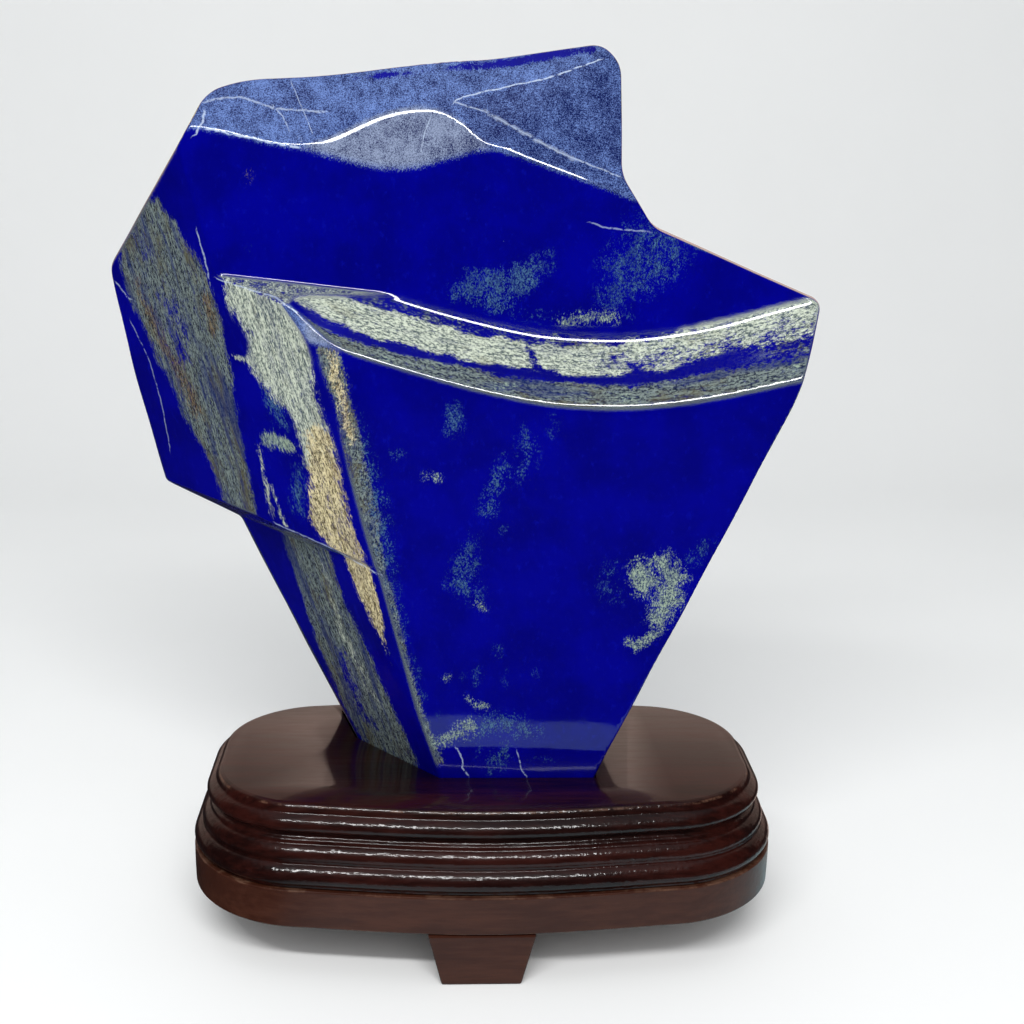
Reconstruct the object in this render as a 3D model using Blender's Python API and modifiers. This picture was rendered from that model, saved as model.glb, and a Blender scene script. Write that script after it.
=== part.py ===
"""Polished lapis lazuli freeform standing in a lacquered oblong wooden stand.

Lengths are in millimetres at the top of the file and turned into metres when a
shape is made. The stand's plan centre is x = 0, y = 0 with the front towards -y
and the table at z = 0; the whole is centred on its bounding box at the end.
"""
import math

import bmesh
import bpy
from mathutils import Matrix, Vector

MM = 0.001
COLLECTION = "lapis_on_stand"
STONE_COLOUR = (0.012, 0.014, 0.32)
STONE_ROUGHNESS = 0.12
WOOD_COLOUR = (0.07, 0.02, 0.012)
WOOD_ROUGHNESS = 0.2

# Plan of the stand: an oblong with bowed long sides and rounded ends
STAND_HALF_LENGTH = 130.0
STAND_HALF_DEPTH = 59.4
STAND_CORNER_RADIUS = 47.4
STAND_BOW = 10.1
PLAN_POINTS_ARC = 13
PLAN_POINTS_SIDE = 14

# Heights of the stand's levels above the table
FOOT_HEIGHT = 24.0
APRON_TOP = 42.0
MOULDING_TOP = 64.6
STAND_TOP = 76.0
JOINT_GAP = 0.3

# Edge profiles as pairs of inset from the apron's outline and height
APRON_PROFILE = (
    (0.9, 24.0), (0.3, 24.3), (0.0, 25.0), (0.0, 40.9), (0.3, 41.6), (1.0, 41.7),
)
MOULDING_PROFILE = (
    (4.5, 42.0), (1.6, 42.0), (1.5, 43.6), (0.7, 44.3), (0.2, 45.6), (0.2, 47.0), (0.8, 48.8),
    (1.9, 50.4), (3.2, 51.5), (4.2, 51.9), (4.3, 53.2), (3.9, 54.4), (4.1, 56.0), (4.9, 57.6),
    (6.3, 59.0), (7.6, 59.6), (7.9, 61.0), (8.6, 61.6), (9.4, 62.2), (10.2, 64.3),
)
TOP_PROFILE = (
    (9.4, 64.6), (7.4, 65.2), (6.5, 66.4), (6.4, 68.0), (7.1, 69.7), (8.6, 71.2),
    (10.4, 72.1), (10.8, 73.2), (11.6, 74.8), (12.6, 75.7), (13.7, 76.0),
)

# Feet: blocks that taper towards the table, one in front and two behind
FOOT_WIDTH_TOP = 46.0
FOOT_WIDTH_BOTTOM = 34.0
FOOT_DEPTH = 18.0
FOOT_EDGE = 0.8
FRONT_FOOT_X = -2.0
FRONT_FOOT_Y = -60.0
BACK_FOOT_X = 70.0
BACK_FOOT_Y = 50.5

# Seat cut in the stand for the stone's foot
SEAT_DEPTH = 8.0
SEAT_CLEARANCE = 0.4

# Rough block that the stone is ground from, and points inside each body
ROUGH_BLOCK_LOW = (-190.0, -60.0, 68.3)
ROUGH_BLOCK_HIGH = (190.0, 70.0, 410.0)
CUTTER_MARGIN = 20.0
STONE_HEART = (0.0, 8.0, 200.0)

# Ground facets of the stone, each given by three marks on it
FRONT = ((-20.0, -27.0, 76.0), (48.0, -27.0, 76.0), (48.0, -27.0, 250.0))
FRONT_LEFT = ((-76.0, -27.0, 275.0), (-23.0, -27.0, 77.0), (-106.0, -4.0, 232.0))
LEFT = ((-110.0, -11.0, 289.0), (-99.0, -2.0, 188.0), (-152.0, 42.0, 220.0))
LEFT_UPPER = ((-165.3, 40.0, 286.8), (-145.4, 40.0, 321.3), (-139.4, 10.0, 323.2))
LEFT_EDGE = ((-166.6, 40.0, 275.0), (-154.0, 40.0, 226.0), (-171.0, 48.0, 276.0))
TOP_LEFT = ((-111.8, -6.0, 362.9), (-136.2, -6.0, 324.1), (-145.4, 40.0, 321.3))
TOP_LEFT_EDGE = ((-114.3, 10.0, 363.0), (-104.0, 8.0, 367.2), (-116.5, 30.0, 363.3))
UPPER_BEVEL = ((-115.0, -6.0, 349.0), (-2.0, -6.0, 344.0), (-60.0, 10.0, 371.0))
HORN_BEVEL = ((-0.7, -5.4, 343.1), (45.0, -6.3, 327.6), (44.8, 18.2, 378.8))
TOP = ((-107.0, 8.0, 368.5), (36.0, 16.0, 386.5), (0.0, 34.0, 379.0))
TOP_RIGHT_EDGE = ((43.0, 16.0, 386.2), (52.5, 16.0, 377.5), (46.0, 34.0, 383.5))
RIGHT = ((48.0, -27.0, 76.0), (128.0, -27.0, 253.0), (54.0, 43.0, 76.0))
RIGHT_END = ((136.0, -8.0, 278.0), (133.0, -8.0, 250.0), (143.3, 20.0, 272.0))
BACK = ((-160.0, 46.0, 285.0), (40.0, 46.0, 150.0), (40.0, 37.0, 330.0))
BACK_LOWER = ((-60.0, 43.0, 76.0), (50.0, 43.0, 76.0), (0.0, 47.0, 190.0))
BACK_RIGHT = ((60.0, 45.0, 120.0), (60.0, 38.0, 280.0), (136.0, 24.0, 262.0))
BACK_TOP = ((-100.0, 40.0, 332.0), (30.0, 40.0, 345.0), (0.0, 31.0, 378.0))
CORNER_HEART = (-175.0, 10.0, 350.0)
STONE_FACETS = (
    FRONT, FRONT_LEFT, LEFT, LEFT_EDGE, TOP_LEFT_EDGE, UPPER_BEVEL,
    HORN_BEVEL, TOP, TOP_RIGHT_EDGE, RIGHT, RIGHT_END, BACK, BACK_LOWER, BACK_RIGHT,
    BACK_TOP,
)

# Step across the front: the upper face lies behind, and a dished band joins the two
UPPER_FACE = ((-109.0, -9.0, 290.0), (127.0, -9.0, 284.0), (-60.0, -6.0, 335.0))
BAND_1 = ((-76.0, -27.0, 275.0), (-60.0, -27.0, 262.5), (-84.0, -18.0, 287.0))
BAND_2 = ((-60.0, -27.0, 262.5), (-30.0, -27.0, 253.2), (-45.0, -9.3, 283.0))
BAND_3 = ((-30.0, -27.0, 253.2), (0.0, -27.0, 245.0), (-13.0, -9.8, 275.8))
BAND_4 = ((0.0, -27.0, 245.0), (38.0, -27.0, 240.0), (22.0, -10.0, 270.9))
BAND_5 = ((38.0, -27.0, 240.0), (78.0, -27.0, 242.2), (58.0, -10.0, 270.4))
BAND_6 = ((78.0, -27.0, 242.2), (128.0, -27.0, 254.0), (110.7, -9.2, 280.8))
BAND_TIP = ((-110.0, -11.0, 290.0), (-79.0, -9.0, 288.0), (-90.0, -20.0, 284.0))
TIP_END = ((0.0, -60.0, 200.0), (0.0, 60.0, 200.0), (0.0, 0.0, 300.0))
STEP_HEART = (20.0, -50.0, 330.0)
TIP_HEART = (-100.0, -50.0, 330.0)

# Shallow scoop across the edge between the upper face and the upper bevel
SCOOP_LEFT = ((-77.6, -5.6, 341.6), (-48.2, -6.0, 334.4), (-46.0, 0.6, 356.0))
SCOOP_MIDDLE = ((-48.2, -6.0, 334.4), (-30.2, -5.9, 335.2), (-33.7, 2.6, 358.6))
SCOOP_RIGHT = ((-30.2, -5.9, 335.2), (-5.5, -5.4, 342.6), (-12.7, -0.5, 352.8))
SCOOP_HEART = (-40.0, -30.0, 360.0)

# Slight sag along the top
SAG_LEFT = ((-107.0, 8.0, 368.0), (-19.0, 12.0, 375.0), (-60.0, 34.0, 365.0))
SAG_RIGHT = ((-19.0, 12.0, 375.0), (36.0, 16.0, 386.2), (10.0, 34.0, 374.5))
SAG_HEART = (-20.0, 10.0, 400.0)

# Notch beside the horn, over the shoulder
HORN_SIDE = ((51.6, -5.0, 334.0), (50.0, -5.0, 372.0), (56.0, 35.0, 334.0))
SHOULDER = ((70.0, -8.0, 311.0), (125.1, -8.0, 288.6), (109.6, 20.0, 295.0))
SHOULDER_NECK = ((53.2, -8.0, 330.8), (61.5, -8.0, 318.3), (65.3, 20.0, 316.5))
NOTCH_HEART = (110.0, 0.0, 380.0)

# Ledge at the lower left: the stone is set back below it
LEDGE = ((-48.0, -27.0, 172.0), (-99.0, -2.0, 187.0), (-138.0, 40.0, 188.0))
LOWER_STRIP = ((-48.0, -27.0, 172.0), (-23.0, -27.0, 77.0), (-62.0, -17.0, 171.0))
LOWER_LEFT = ((-62.0, -17.0, 171.0), (-24.0, -23.0, 75.0), (-57.0, 12.0, 75.0))
LOWER_LEFT_EDGE = ((-58.2, 12.0, 75.0), (-68.2, 43.0, 77.0), (-109.2, 33.0, 171.0))
LEDGE_HEART = (-140.0, -40.0, 90.0)

# Facets that bound the stone's foot in the seat
FOOT_FACETS = (FRONT, LOWER_STRIP, LOWER_LEFT, LOWER_LEFT_EDGE, RIGHT, BACK_LOWER)
FOOT_HEART = (0.0, 5.0, 80.0)

EDGE_ROUND = 2.2
EDGE_ANGLE = 11.0
EDGE_SEGMENTS = 2
WOOD_EDGE_ANGLE = 30.0
STONE_SHARP_ANGLE = 25.0
WOOD_SHARP_ANGLE = 40.0
CUT_TOLERANCE = 0.0001
MERGE = 0.00005
FLAT_ANGLE = math.radians(0.2)


def clear_scene() -> None:
    """Remove every object that the file starts with."""
    for obj in list(bpy.data.objects):
        bpy.data.objects.remove(obj, do_unlink=True)


def new_collection(name: str) -> bpy.types.Collection:
    """Make a collection under the scene."""
    coll = bpy.data.collections.new(name)
    bpy.context.scene.collection.children.link(coll)
    return coll


def new_object(name: str, bm: bmesh.types.BMesh, coll: bpy.types.Collection) -> bpy.types.Object:
    """Turn a finished bmesh into a named object."""
    bmesh.ops.recalc_face_normals(bm, faces=bm.faces)
    mesh = bpy.data.meshes.new(name)
    bm.to_mesh(mesh)
    bm.free()
    obj = bpy.data.objects.new(name, mesh)
    coll.objects.link(obj)
    return obj


def new_material(name: str, colour: tuple, roughness: float) -> bpy.types.Material:
    """A plain surface colour for a piece."""
    mat = bpy.data.materials.new(name)
    mat.use_nodes = True
    surface = mat.node_tree.nodes["Principled BSDF"]
    surface.inputs["Base Color"].default_value = (*colour, 1.0)
    surface.inputs["Roughness"].default_value = roughness
    return mat


def plan_outline() -> list:
    """Points of the apron's outline, running anticlockwise, in millimetres."""
    centre_x = STAND_HALF_LENGTH - STAND_CORNER_RADIUS
    centre_y = STAND_HALF_DEPTH - STAND_CORNER_RADIUS
    corner = []
    for i in range(PLAN_POINTS_ARC):
        angle = math.radians(90.0) * i / (PLAN_POINTS_ARC - 1)
        corner.append((centre_x + STAND_CORNER_RADIUS * math.cos(angle),
                       centre_y + STAND_CORNER_RADIUS * math.sin(angle)))
    side = []
    for i in range(1, PLAN_POINTS_SIDE):
        side.append((centre_x * (1.0 - 2.0 * i / PLAN_POINTS_SIDE), STAND_HALF_DEPTH))
    half = corner + side + [(-x, y) for x, y in reversed(corner)]
    ring = half + [(-x, -y) for x, y in half]
    bowed = []
    for x, y in ring:
        share = 0.5 * (1.0 + math.cos(math.pi * x / STAND_HALF_LENGTH))
        bowed.append((x, y + math.copysign(STAND_BOW * share, y) * abs(y) / STAND_HALF_DEPTH))
    return bowed


def inset_outline(ring: list, inset: float) -> list:
    """The outline moved inwards by a distance, square to its own line."""
    moved = []
    count = len(ring)
    for i, (x, y) in enumerate(ring):
        before = Vector(ring[i - 1])
        after = Vector(ring[(i + 1) % count])
        along = (after - before).normalized()
        moved.append((x - along.y * inset, y + along.x * inset))
    return moved


def moulded_board(name: str, profile: tuple, coll: bpy.types.Collection) -> bpy.types.Object:
    """A board whose edge follows a profile of insets and heights all the way round."""
    outline = plan_outline()
    bm = bmesh.new()
    loops = []
    for inset, height in profile:
        points = inset_outline(outline, inset)
        ring = [bm.verts.new((x * MM, y * MM, height * MM)) for x, y in points]
        loops.append([bm.edges.new((ring[i - 1], ring[i])) for i in range(len(ring))])
    for lower, upper in zip(loops, loops[1:]):
        bmesh.ops.bridge_loops(bm, edges=lower + upper)
    bmesh.ops.holes_fill(bm, edges=loops[0] + loops[-1], sides=0)
    return new_object(name, bm, coll)


def facet_plane(marks: tuple, heart: tuple) -> tuple:
    """A point and the outward direction of the plane through three marks."""
    first, second, third = (Vector(mark) for mark in marks)
    normal = (second - first).cross(third - first).normalized()
    if normal.dot(Vector(heart) - first) > 0.0:
        normal.negate()
    return first, normal


def ground_block(low: tuple, high: tuple, facets: tuple, heart: tuple,
                 grow: float = 0.0) -> bmesh.types.BMesh:
    """A block cut back to the plane of each facet, keeping the side of the heart."""
    bm = bmesh.new()
    bmesh.ops.create_cube(bm, size=1.0)
    size = Vector(high) - Vector(low)
    middle = (Vector(high) + Vector(low)) / 2.0
    bmesh.ops.scale(bm, vec=size, verts=bm.verts)
    bmesh.ops.translate(bm, vec=middle, verts=bm.verts)
    for marks in facets:
        point, normal = facet_plane(marks, heart)
        geometry = bm.verts[:] + bm.edges[:] + bm.faces[:]
        cut = bmesh.ops.bisect_plane(bm, geom=geometry, dist=CUT_TOLERANCE, plane_co=point + normal * grow,
                                     plane_no=normal, clear_outer=True)
        rim = [item for item in cut["geom_cut"] if isinstance(item, bmesh.types.BMEdge)]
        bmesh.ops.holes_fill(bm, edges=rim, sides=0)
    bmesh.ops.scale(bm, vec=(MM, MM, MM), verts=bm.verts)
    bmesh.ops.triangulate(bm, faces=bm.faces)
    return bm


def settle(obj: bpy.types.Object, flat: float = 0.0) -> None:
    """Replace the object's mesh by its finished shape, with stray points merged."""
    depsgraph = bpy.context.evaluated_depsgraph_get()
    mesh = bpy.data.meshes.new_from_object(obj.evaluated_get(depsgraph))
    obj.modifiers.clear()
    obj.data = mesh
    mesh.name = obj.name
    bm = bmesh.new()
    bm.from_mesh(mesh)
    bmesh.ops.remove_doubles(bm, verts=bm.verts, dist=MERGE)
    bmesh.ops.dissolve_degenerate(bm, dist=MERGE, edges=bm.edges)
    if flat:
        bmesh.ops.dissolve_limit(bm, angle_limit=flat, verts=bm.verts, edges=bm.edges)
    else:
        bmesh.ops.triangulate(bm, faces=[face for face in bm.faces if len(face.verts) > 4])
    bm.to_mesh(mesh)
    bm.free()


def cut_away(target: bpy.types.Object, cutters: list) -> None:
    """Take each cutter's volume off the target in turn."""
    for cutter in cutters:
        cutter.hide_render = True
        cutter.display_type = "WIRE"
        step = target.modifiers.new("cut", "BOOLEAN")
        step.operation = "DIFFERENCE"
        step.solver = "EXACT"
        step.object = cutter
        settle(target, FLAT_ANGLE)


def stone_cutters(coll: bpy.types.Collection) -> list:
    """Bodies that are taken off the ground block to leave step, scoop, notch and ledge."""
    margin = Vector((CUTTER_MARGIN, CUTTER_MARGIN, CUTTER_MARGIN))
    low = Vector(ROUGH_BLOCK_LOW) - margin
    high = Vector(ROUGH_BLOCK_HIGH) + margin
    bands = (BAND_1, BAND_2, BAND_3, BAND_4, BAND_5, BAND_6)
    shapes = {
        "corner_cut": ((LEFT_UPPER, TOP_LEFT), CORNER_HEART),
        "step_cut": ((UPPER_FACE,) + bands, STEP_HEART),
        "step_tip_cut": ((UPPER_FACE, BAND_TIP, TIP_END), TIP_HEART),
        "scoop_cut": ((SCOOP_LEFT, SCOOP_MIDDLE, SCOOP_RIGHT), SCOOP_HEART),
        "sag_cut": ((SAG_LEFT, SAG_RIGHT), SAG_HEART),
        "notch_cut": ((HORN_SIDE, SHOULDER, SHOULDER_NECK), NOTCH_HEART),
        "ledge_strip_cut": ((LEDGE, LOWER_STRIP), LEDGE_HEART),
        "ledge_left_cut": ((LEDGE, LOWER_LEFT), LEDGE_HEART),
        "ledge_edge_cut": ((LEDGE, LOWER_LEFT_EDGE), LEDGE_HEART),
    }
    return [new_object(name, ground_block(low, high, facets, heart), coll)
            for name, (facets, heart) in shapes.items()]


def make_stone(coll: bpy.types.Collection, cut_coll: bpy.types.Collection) -> bpy.types.Object:
    """The stone: a block ground to its facets, cut, and eased along its edges."""
    block = ground_block(ROUGH_BLOCK_LOW, ROUGH_BLOCK_HIGH, STONE_FACETS, STONE_HEART)
    stone = new_object("lapis_stone", block, coll)
    cut_away(stone, stone_cutters(cut_coll))
    ease_edges(stone, EDGE_ROUND, EDGE_ANGLE, EDGE_SEGMENTS)
    settle(stone)
    return stone


def ease_edges(obj: bpy.types.Object, width: float, angle: float, segments: int) -> None:
    """Round the edges that turn by more than an angle."""
    ease = obj.modifiers.new("eased edges", "BEVEL")
    ease.width = width * MM
    ease.segments = segments
    ease.limit_method = "ANGLE"
    ease.angle_limit = math.radians(angle)


def make_foot(name: str, x: float, y: float, coll: bpy.types.Collection) -> bpy.types.Object:
    """A tapered foot under the apron, wide at the top."""
    bm = bmesh.new()
    bmesh.ops.create_cube(bm, size=1.0)
    height = FOOT_HEIGHT - JOINT_GAP
    bmesh.ops.scale(bm, vec=(FOOT_WIDTH_TOP, FOOT_DEPTH, height), verts=bm.verts)
    sole = [vert for vert in bm.verts if vert.co.z < 0.0]
    bmesh.ops.scale(bm, vec=(FOOT_WIDTH_BOTTOM / FOOT_WIDTH_TOP, 1.0, 1.0), verts=sole)
    bmesh.ops.translate(bm, vec=(x, y, height / 2.0), verts=bm.verts)
    bmesh.ops.scale(bm, vec=(MM, MM, MM), verts=bm.verts)
    foot = new_object(name, bm, coll)
    ease_edges(foot, FOOT_EDGE, WOOD_EDGE_ANGLE, EDGE_SEGMENTS)
    settle(foot)
    return foot


def cut_seat(board: bpy.types.Object, cut_coll: bpy.types.Collection) -> None:
    """Sink a seat for the stone's foot into the top board."""
    low = ROUGH_BLOCK_LOW[0], ROUGH_BLOCK_LOW[1], STAND_TOP - SEAT_DEPTH
    high = ROUGH_BLOCK_HIGH[0], ROUGH_BLOCK_HIGH[1], STAND_TOP + SEAT_DEPTH
    seat = ground_block(low, high, FOOT_FACETS, FOOT_HEART, grow=SEAT_CLEARANCE)
    cut_away(board, [new_object("seat_cut", seat, cut_coll)])
    settle(board)


def centre_on_box(objects: list) -> None:
    """Move the pieces together so that their common box stands on the origin."""
    points = [vert.co for obj in objects for vert in obj.data.vertices]
    middle_x = (min(p.x for p in points) + max(p.x for p in points)) / 2.0
    middle_y = (min(p.y for p in points) + max(p.y for p in points)) / 2.0
    for obj in objects:
        obj.data.transform(Matrix.Translation((-middle_x, -middle_y, 0.0)))


def dress(obj: bpy.types.Object, mat: bpy.types.Material, sharp: float) -> None:
    """Give a piece its colour and smooth shading up to an angle."""
    obj.data.materials.append(mat)
    obj.data.shade_smooth()
    obj.data.set_sharp_from_angle(angle=math.radians(sharp))


def main() -> None:
    """Build the stone and its stand."""
    clear_scene()
    coll = new_collection(COLLECTION)
    cut_coll = new_collection("cutters")
    stone = make_stone(coll, cut_coll)
    top = moulded_board("top_board", TOP_PROFILE, coll)
    cut_seat(top, cut_coll)
    wood = [
        top,
        moulded_board("middle_board", MOULDING_PROFILE, coll),
        moulded_board("apron_board", APRON_PROFILE, coll),
        make_foot("front_foot", FRONT_FOOT_X, FRONT_FOOT_Y, coll),
        make_foot("back_left_foot", -BACK_FOOT_X, BACK_FOOT_Y, coll),
        make_foot("back_right_foot", BACK_FOOT_X, BACK_FOOT_Y, coll),
    ]
    centre_on_box([stone] + wood)
    dress(stone, new_material("polished_lapis", STONE_COLOUR, STONE_ROUGHNESS), STONE_SHARP_ANGLE)
    for piece in wood:
        lacquer = new_material(piece.name + "_lacquer", WOOD_COLOUR, WOOD_ROUGHNESS)
        dress(piece, lacquer, WOOD_SHARP_ANGLE)


main()
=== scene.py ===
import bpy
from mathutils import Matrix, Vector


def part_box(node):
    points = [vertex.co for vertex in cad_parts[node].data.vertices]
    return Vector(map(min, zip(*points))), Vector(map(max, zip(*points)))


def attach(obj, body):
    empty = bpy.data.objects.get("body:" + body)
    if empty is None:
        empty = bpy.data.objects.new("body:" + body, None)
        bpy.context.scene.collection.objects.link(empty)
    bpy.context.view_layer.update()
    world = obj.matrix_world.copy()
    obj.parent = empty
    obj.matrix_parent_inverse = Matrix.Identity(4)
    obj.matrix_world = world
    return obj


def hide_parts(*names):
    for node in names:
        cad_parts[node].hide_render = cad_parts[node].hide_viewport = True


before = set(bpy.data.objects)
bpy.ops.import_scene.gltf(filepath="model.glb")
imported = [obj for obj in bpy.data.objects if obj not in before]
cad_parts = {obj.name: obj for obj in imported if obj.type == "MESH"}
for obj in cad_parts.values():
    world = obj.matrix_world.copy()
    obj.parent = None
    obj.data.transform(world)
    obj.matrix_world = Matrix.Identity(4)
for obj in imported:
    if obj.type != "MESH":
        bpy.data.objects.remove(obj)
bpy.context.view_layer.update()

# Polished lapis lazuli freeform on a lacquered oblong stand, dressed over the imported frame.
# Lengths are in millimetres until a mesh is written. Marks are in the stand's own frame,
# where x = 0 is the middle of the stand, and are moved with it into the row frame.
import logging
import math
from dataclasses import dataclass, field
from enum import Enum
from typing import Callable, Iterable, Sequence

import bmesh
import bpy
import numpy as np
from mathutils import Matrix, Vector

MM = 0.001
LOG = logging.getLogger("lapis")
Point = tuple[float, float, float]
Marks = tuple[Point, Point, Point]
Colour = tuple[float, float, float]


def smooth_max(a: np.ndarray, b: np.ndarray, width: float) -> np.ndarray:
    """The larger of two fields, blended where they differ by less than a width.

    Args:
        a: First field, in millimetres.
        b: Second field, in millimetres.
        width: Difference under which the two are blended; it is the softness of an edge.

    Returns:
        The blended field, nowhere lower than the larger of the two.
    """
    share = np.maximum(width - np.abs(a - b), 0.0) / width
    return np.maximum(a, b) + share * share * width * 0.25


def smooth_min(a: np.ndarray, b: np.ndarray, width: float) -> np.ndarray:
    """The smaller of two fields, blended over a width."""
    return -smooth_max(-a, -b, width)


def smooth_step(value: np.ndarray, low: float, high: float) -> np.ndarray:
    """A share from 0 at low to 1 at high with soft ends."""
    share = np.clip((value - low) / (high - low), 0.0, 1.0)
    return share * share * (3.0 - 2.0 * share)


def folded(fields: Sequence[np.ndarray], join: Callable[..., np.ndarray], width: float) -> np.ndarray:
    """Join several fields one after another with the same softness.

    Args:
        fields: Fields of the same length.
        join: smooth_max or smooth_min.
        width: Softness of each join.

    Returns:
        One field.
    """
    result = fields[0]
    for other in fields[1:]:
        result = join(result, other, width)
    return result


@dataclass(frozen=True)
class Facet:
    """A ground plane of the stone, through three marks on it."""

    marks: Marks
    heart: Point = (0.0, 8.0, 200.0)

    def plane(self) -> tuple[np.ndarray, np.ndarray]:
        """A point on the plane and its direction away from the heart."""
        first, second, third = (np.array(mark, float) for mark in self.marks)
        normal = np.cross(second - first, third - first)
        normal /= np.linalg.norm(normal)
        if normal @ (np.array(self.heart) - first) > 0.0:
            normal = -normal
        return first, normal

    def height(self, points: np.ndarray) -> np.ndarray:
        """Height of each point above the plane, away from the heart."""
        first, normal = self.plane()
        return (points - first) @ normal

    def depth_at(self, x: "float | np.ndarray", z: "float | np.ndarray") -> "float | np.ndarray":
        """The y of the plane at a place in the front view."""
        first, normal = self.plane()
        return first[1] - (normal[0] * (x - first[0]) + normal[2] * (z - first[2])) / normal[1]


class Ground(Enum):
    """Outer facets of the stone, ground on the block."""

    FRONT = Facet(((-20, -27, 76), (48, -27, 76), (48, -27, 250)))
    FRONT_LEFT = Facet(((-76, -27, 275), (-23, -27, 77), (-106, -4, 232)))
    LEFT = Facet(((-110, -11, 289), (-99, -2, 188), (-152, 42, 220)))
    LEFT_EDGE = Facet(((-166.6, 40, 275), (-154, 40, 226), (-171, 48, 276)))
    TOP_LEFT_EDGE = Facet(((-114.3, 10, 363), (-104, 8, 367.2), (-116.5, 30, 363.3)))
    HORN_BEVEL = Facet(((-0.7, -5.4, 343.1), (45, -6.3, 327.6), (44.8, 18.2, 378.8)))
    TOP = Facet(((-107, 8, 368.5), (36, 16, 386.5), (0, 34, 379)))
    TOP_RIGHT_EDGE = Facet(((43, 16, 386.2), (52.5, 16, 377.5), (46, 34, 383.5)))
    RIGHT = Facet(((48, -27, 76), (128, -27, 253), (54, 43, 76)))
    RIGHT_END = Facet(((136, -8, 278), (133, -8, 250), (143.3, 20, 272)))
    BACK = Facet(((-160, 46, 285), (40, 46, 150), (40, 37, 330)))
    BACK_LOWER = Facet(((-60, 43, 76), (50, 43, 76), (0, 47, 190)))
    BACK_RIGHT = Facet(((60, 45, 120), (60, 38, 280), (136, 24, 262)))
    BACK_TOP = Facet(((-100, 40, 332), (30, 40, 345), (0, 31, 378)))


CORNER, STEP = (-175.0, 10.0, 350.0), (20.0, -50.0, 330.0)
SAG, NOTCH, UNDERCUT = (-20.0, 10.0, 400.0), (110.0, 0.0, 380.0), (-140.0, -40.0, 90.0)
TIP = (-100.0, -50.0, 330.0)


class Cut(Enum):
    """Planes of the hollows; the heart of each is in the part taken away."""

    LEFT_UPPER = Facet(((-165.3, 40, 286.8), (-145.4, 40, 321.3), (-139.4, 10, 323.2)), CORNER)
    TOP_LEFT = Facet(((-111.8, -6, 362.9), (-136.2, -6, 324.1), (-145.4, 40, 321.3)), CORNER)
    UPPER_FACE = Facet(((-109, -9, 290), (127, -9, 284), (-60, -6, 335)), STEP)
    BAND_1 = Facet(((-76, -27, 275), (-60, -27, 262.5), (-84, -18, 287)), STEP)
    BAND_2 = Facet(((-60, -27, 262.5), (-30, -27, 253.2), (-45, -9.3, 283)), STEP)
    BAND_3 = Facet(((-30, -27, 253.2), (0, -27, 245), (-13, -9.8, 275.8)), STEP)
    BAND_4 = Facet(((0, -27, 245), (38, -27, 240), (22, -10, 270.9)), STEP)
    BAND_5 = Facet(((38, -27, 240), (78, -27, 242.2), (58, -10, 270.4)), STEP)
    BAND_6 = Facet(((78, -27, 242.2), (128, -27, 254), (110.7, -9.2, 280.8)), STEP)
    BAND_TIP = Facet(((-110, -11, 290), (-79, -9, 288), (-90, -20, 284)), STEP)
    TIP_END = Facet(((0, -60, 200), (0, 60, 200), (0, 0, 300)), TIP)
    SAG_LEFT = Facet(((-107, 8, 368), (-19, 12, 375), (-60, 34, 365)), SAG)
    SAG_RIGHT = Facet(((-19, 12, 375), (36, 16, 386.2), (10, 34, 374.5)), SAG)
    HORN_SIDE = Facet(((51.6, -5, 334), (50, -5, 372), (56, 35, 334)), NOTCH)
    SHOULDER = Facet(((70, -8, 311), (125.1, -8, 288.6), (109.6, 20, 295)), NOTCH)
    SHOULDER_NECK = Facet(((53.2, -8, 330.8), (61.5, -8, 318.3), (65.3, 20, 316.5)), NOTCH)
    LEDGE = Facet(((-48, -27, 172), (-99, -2, 187), (-138, 40, 188)), UNDERCUT)
    LOWER_STRIP = Facet(((-48, -27, 172), (-23, -27, 77), (-62, -17, 171)), UNDERCUT)
    LOWER_LEFT = Facet(((-62, -17, 171), (-24, -23, 75), (-57, 12, 75)), UNDERCUT)
    LOWER_LEFT_EDGE = Facet(((-58.2, 12, 75), (-68.2, 43, 77), (-109.2, 33, 171)), UNDERCUT)


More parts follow.
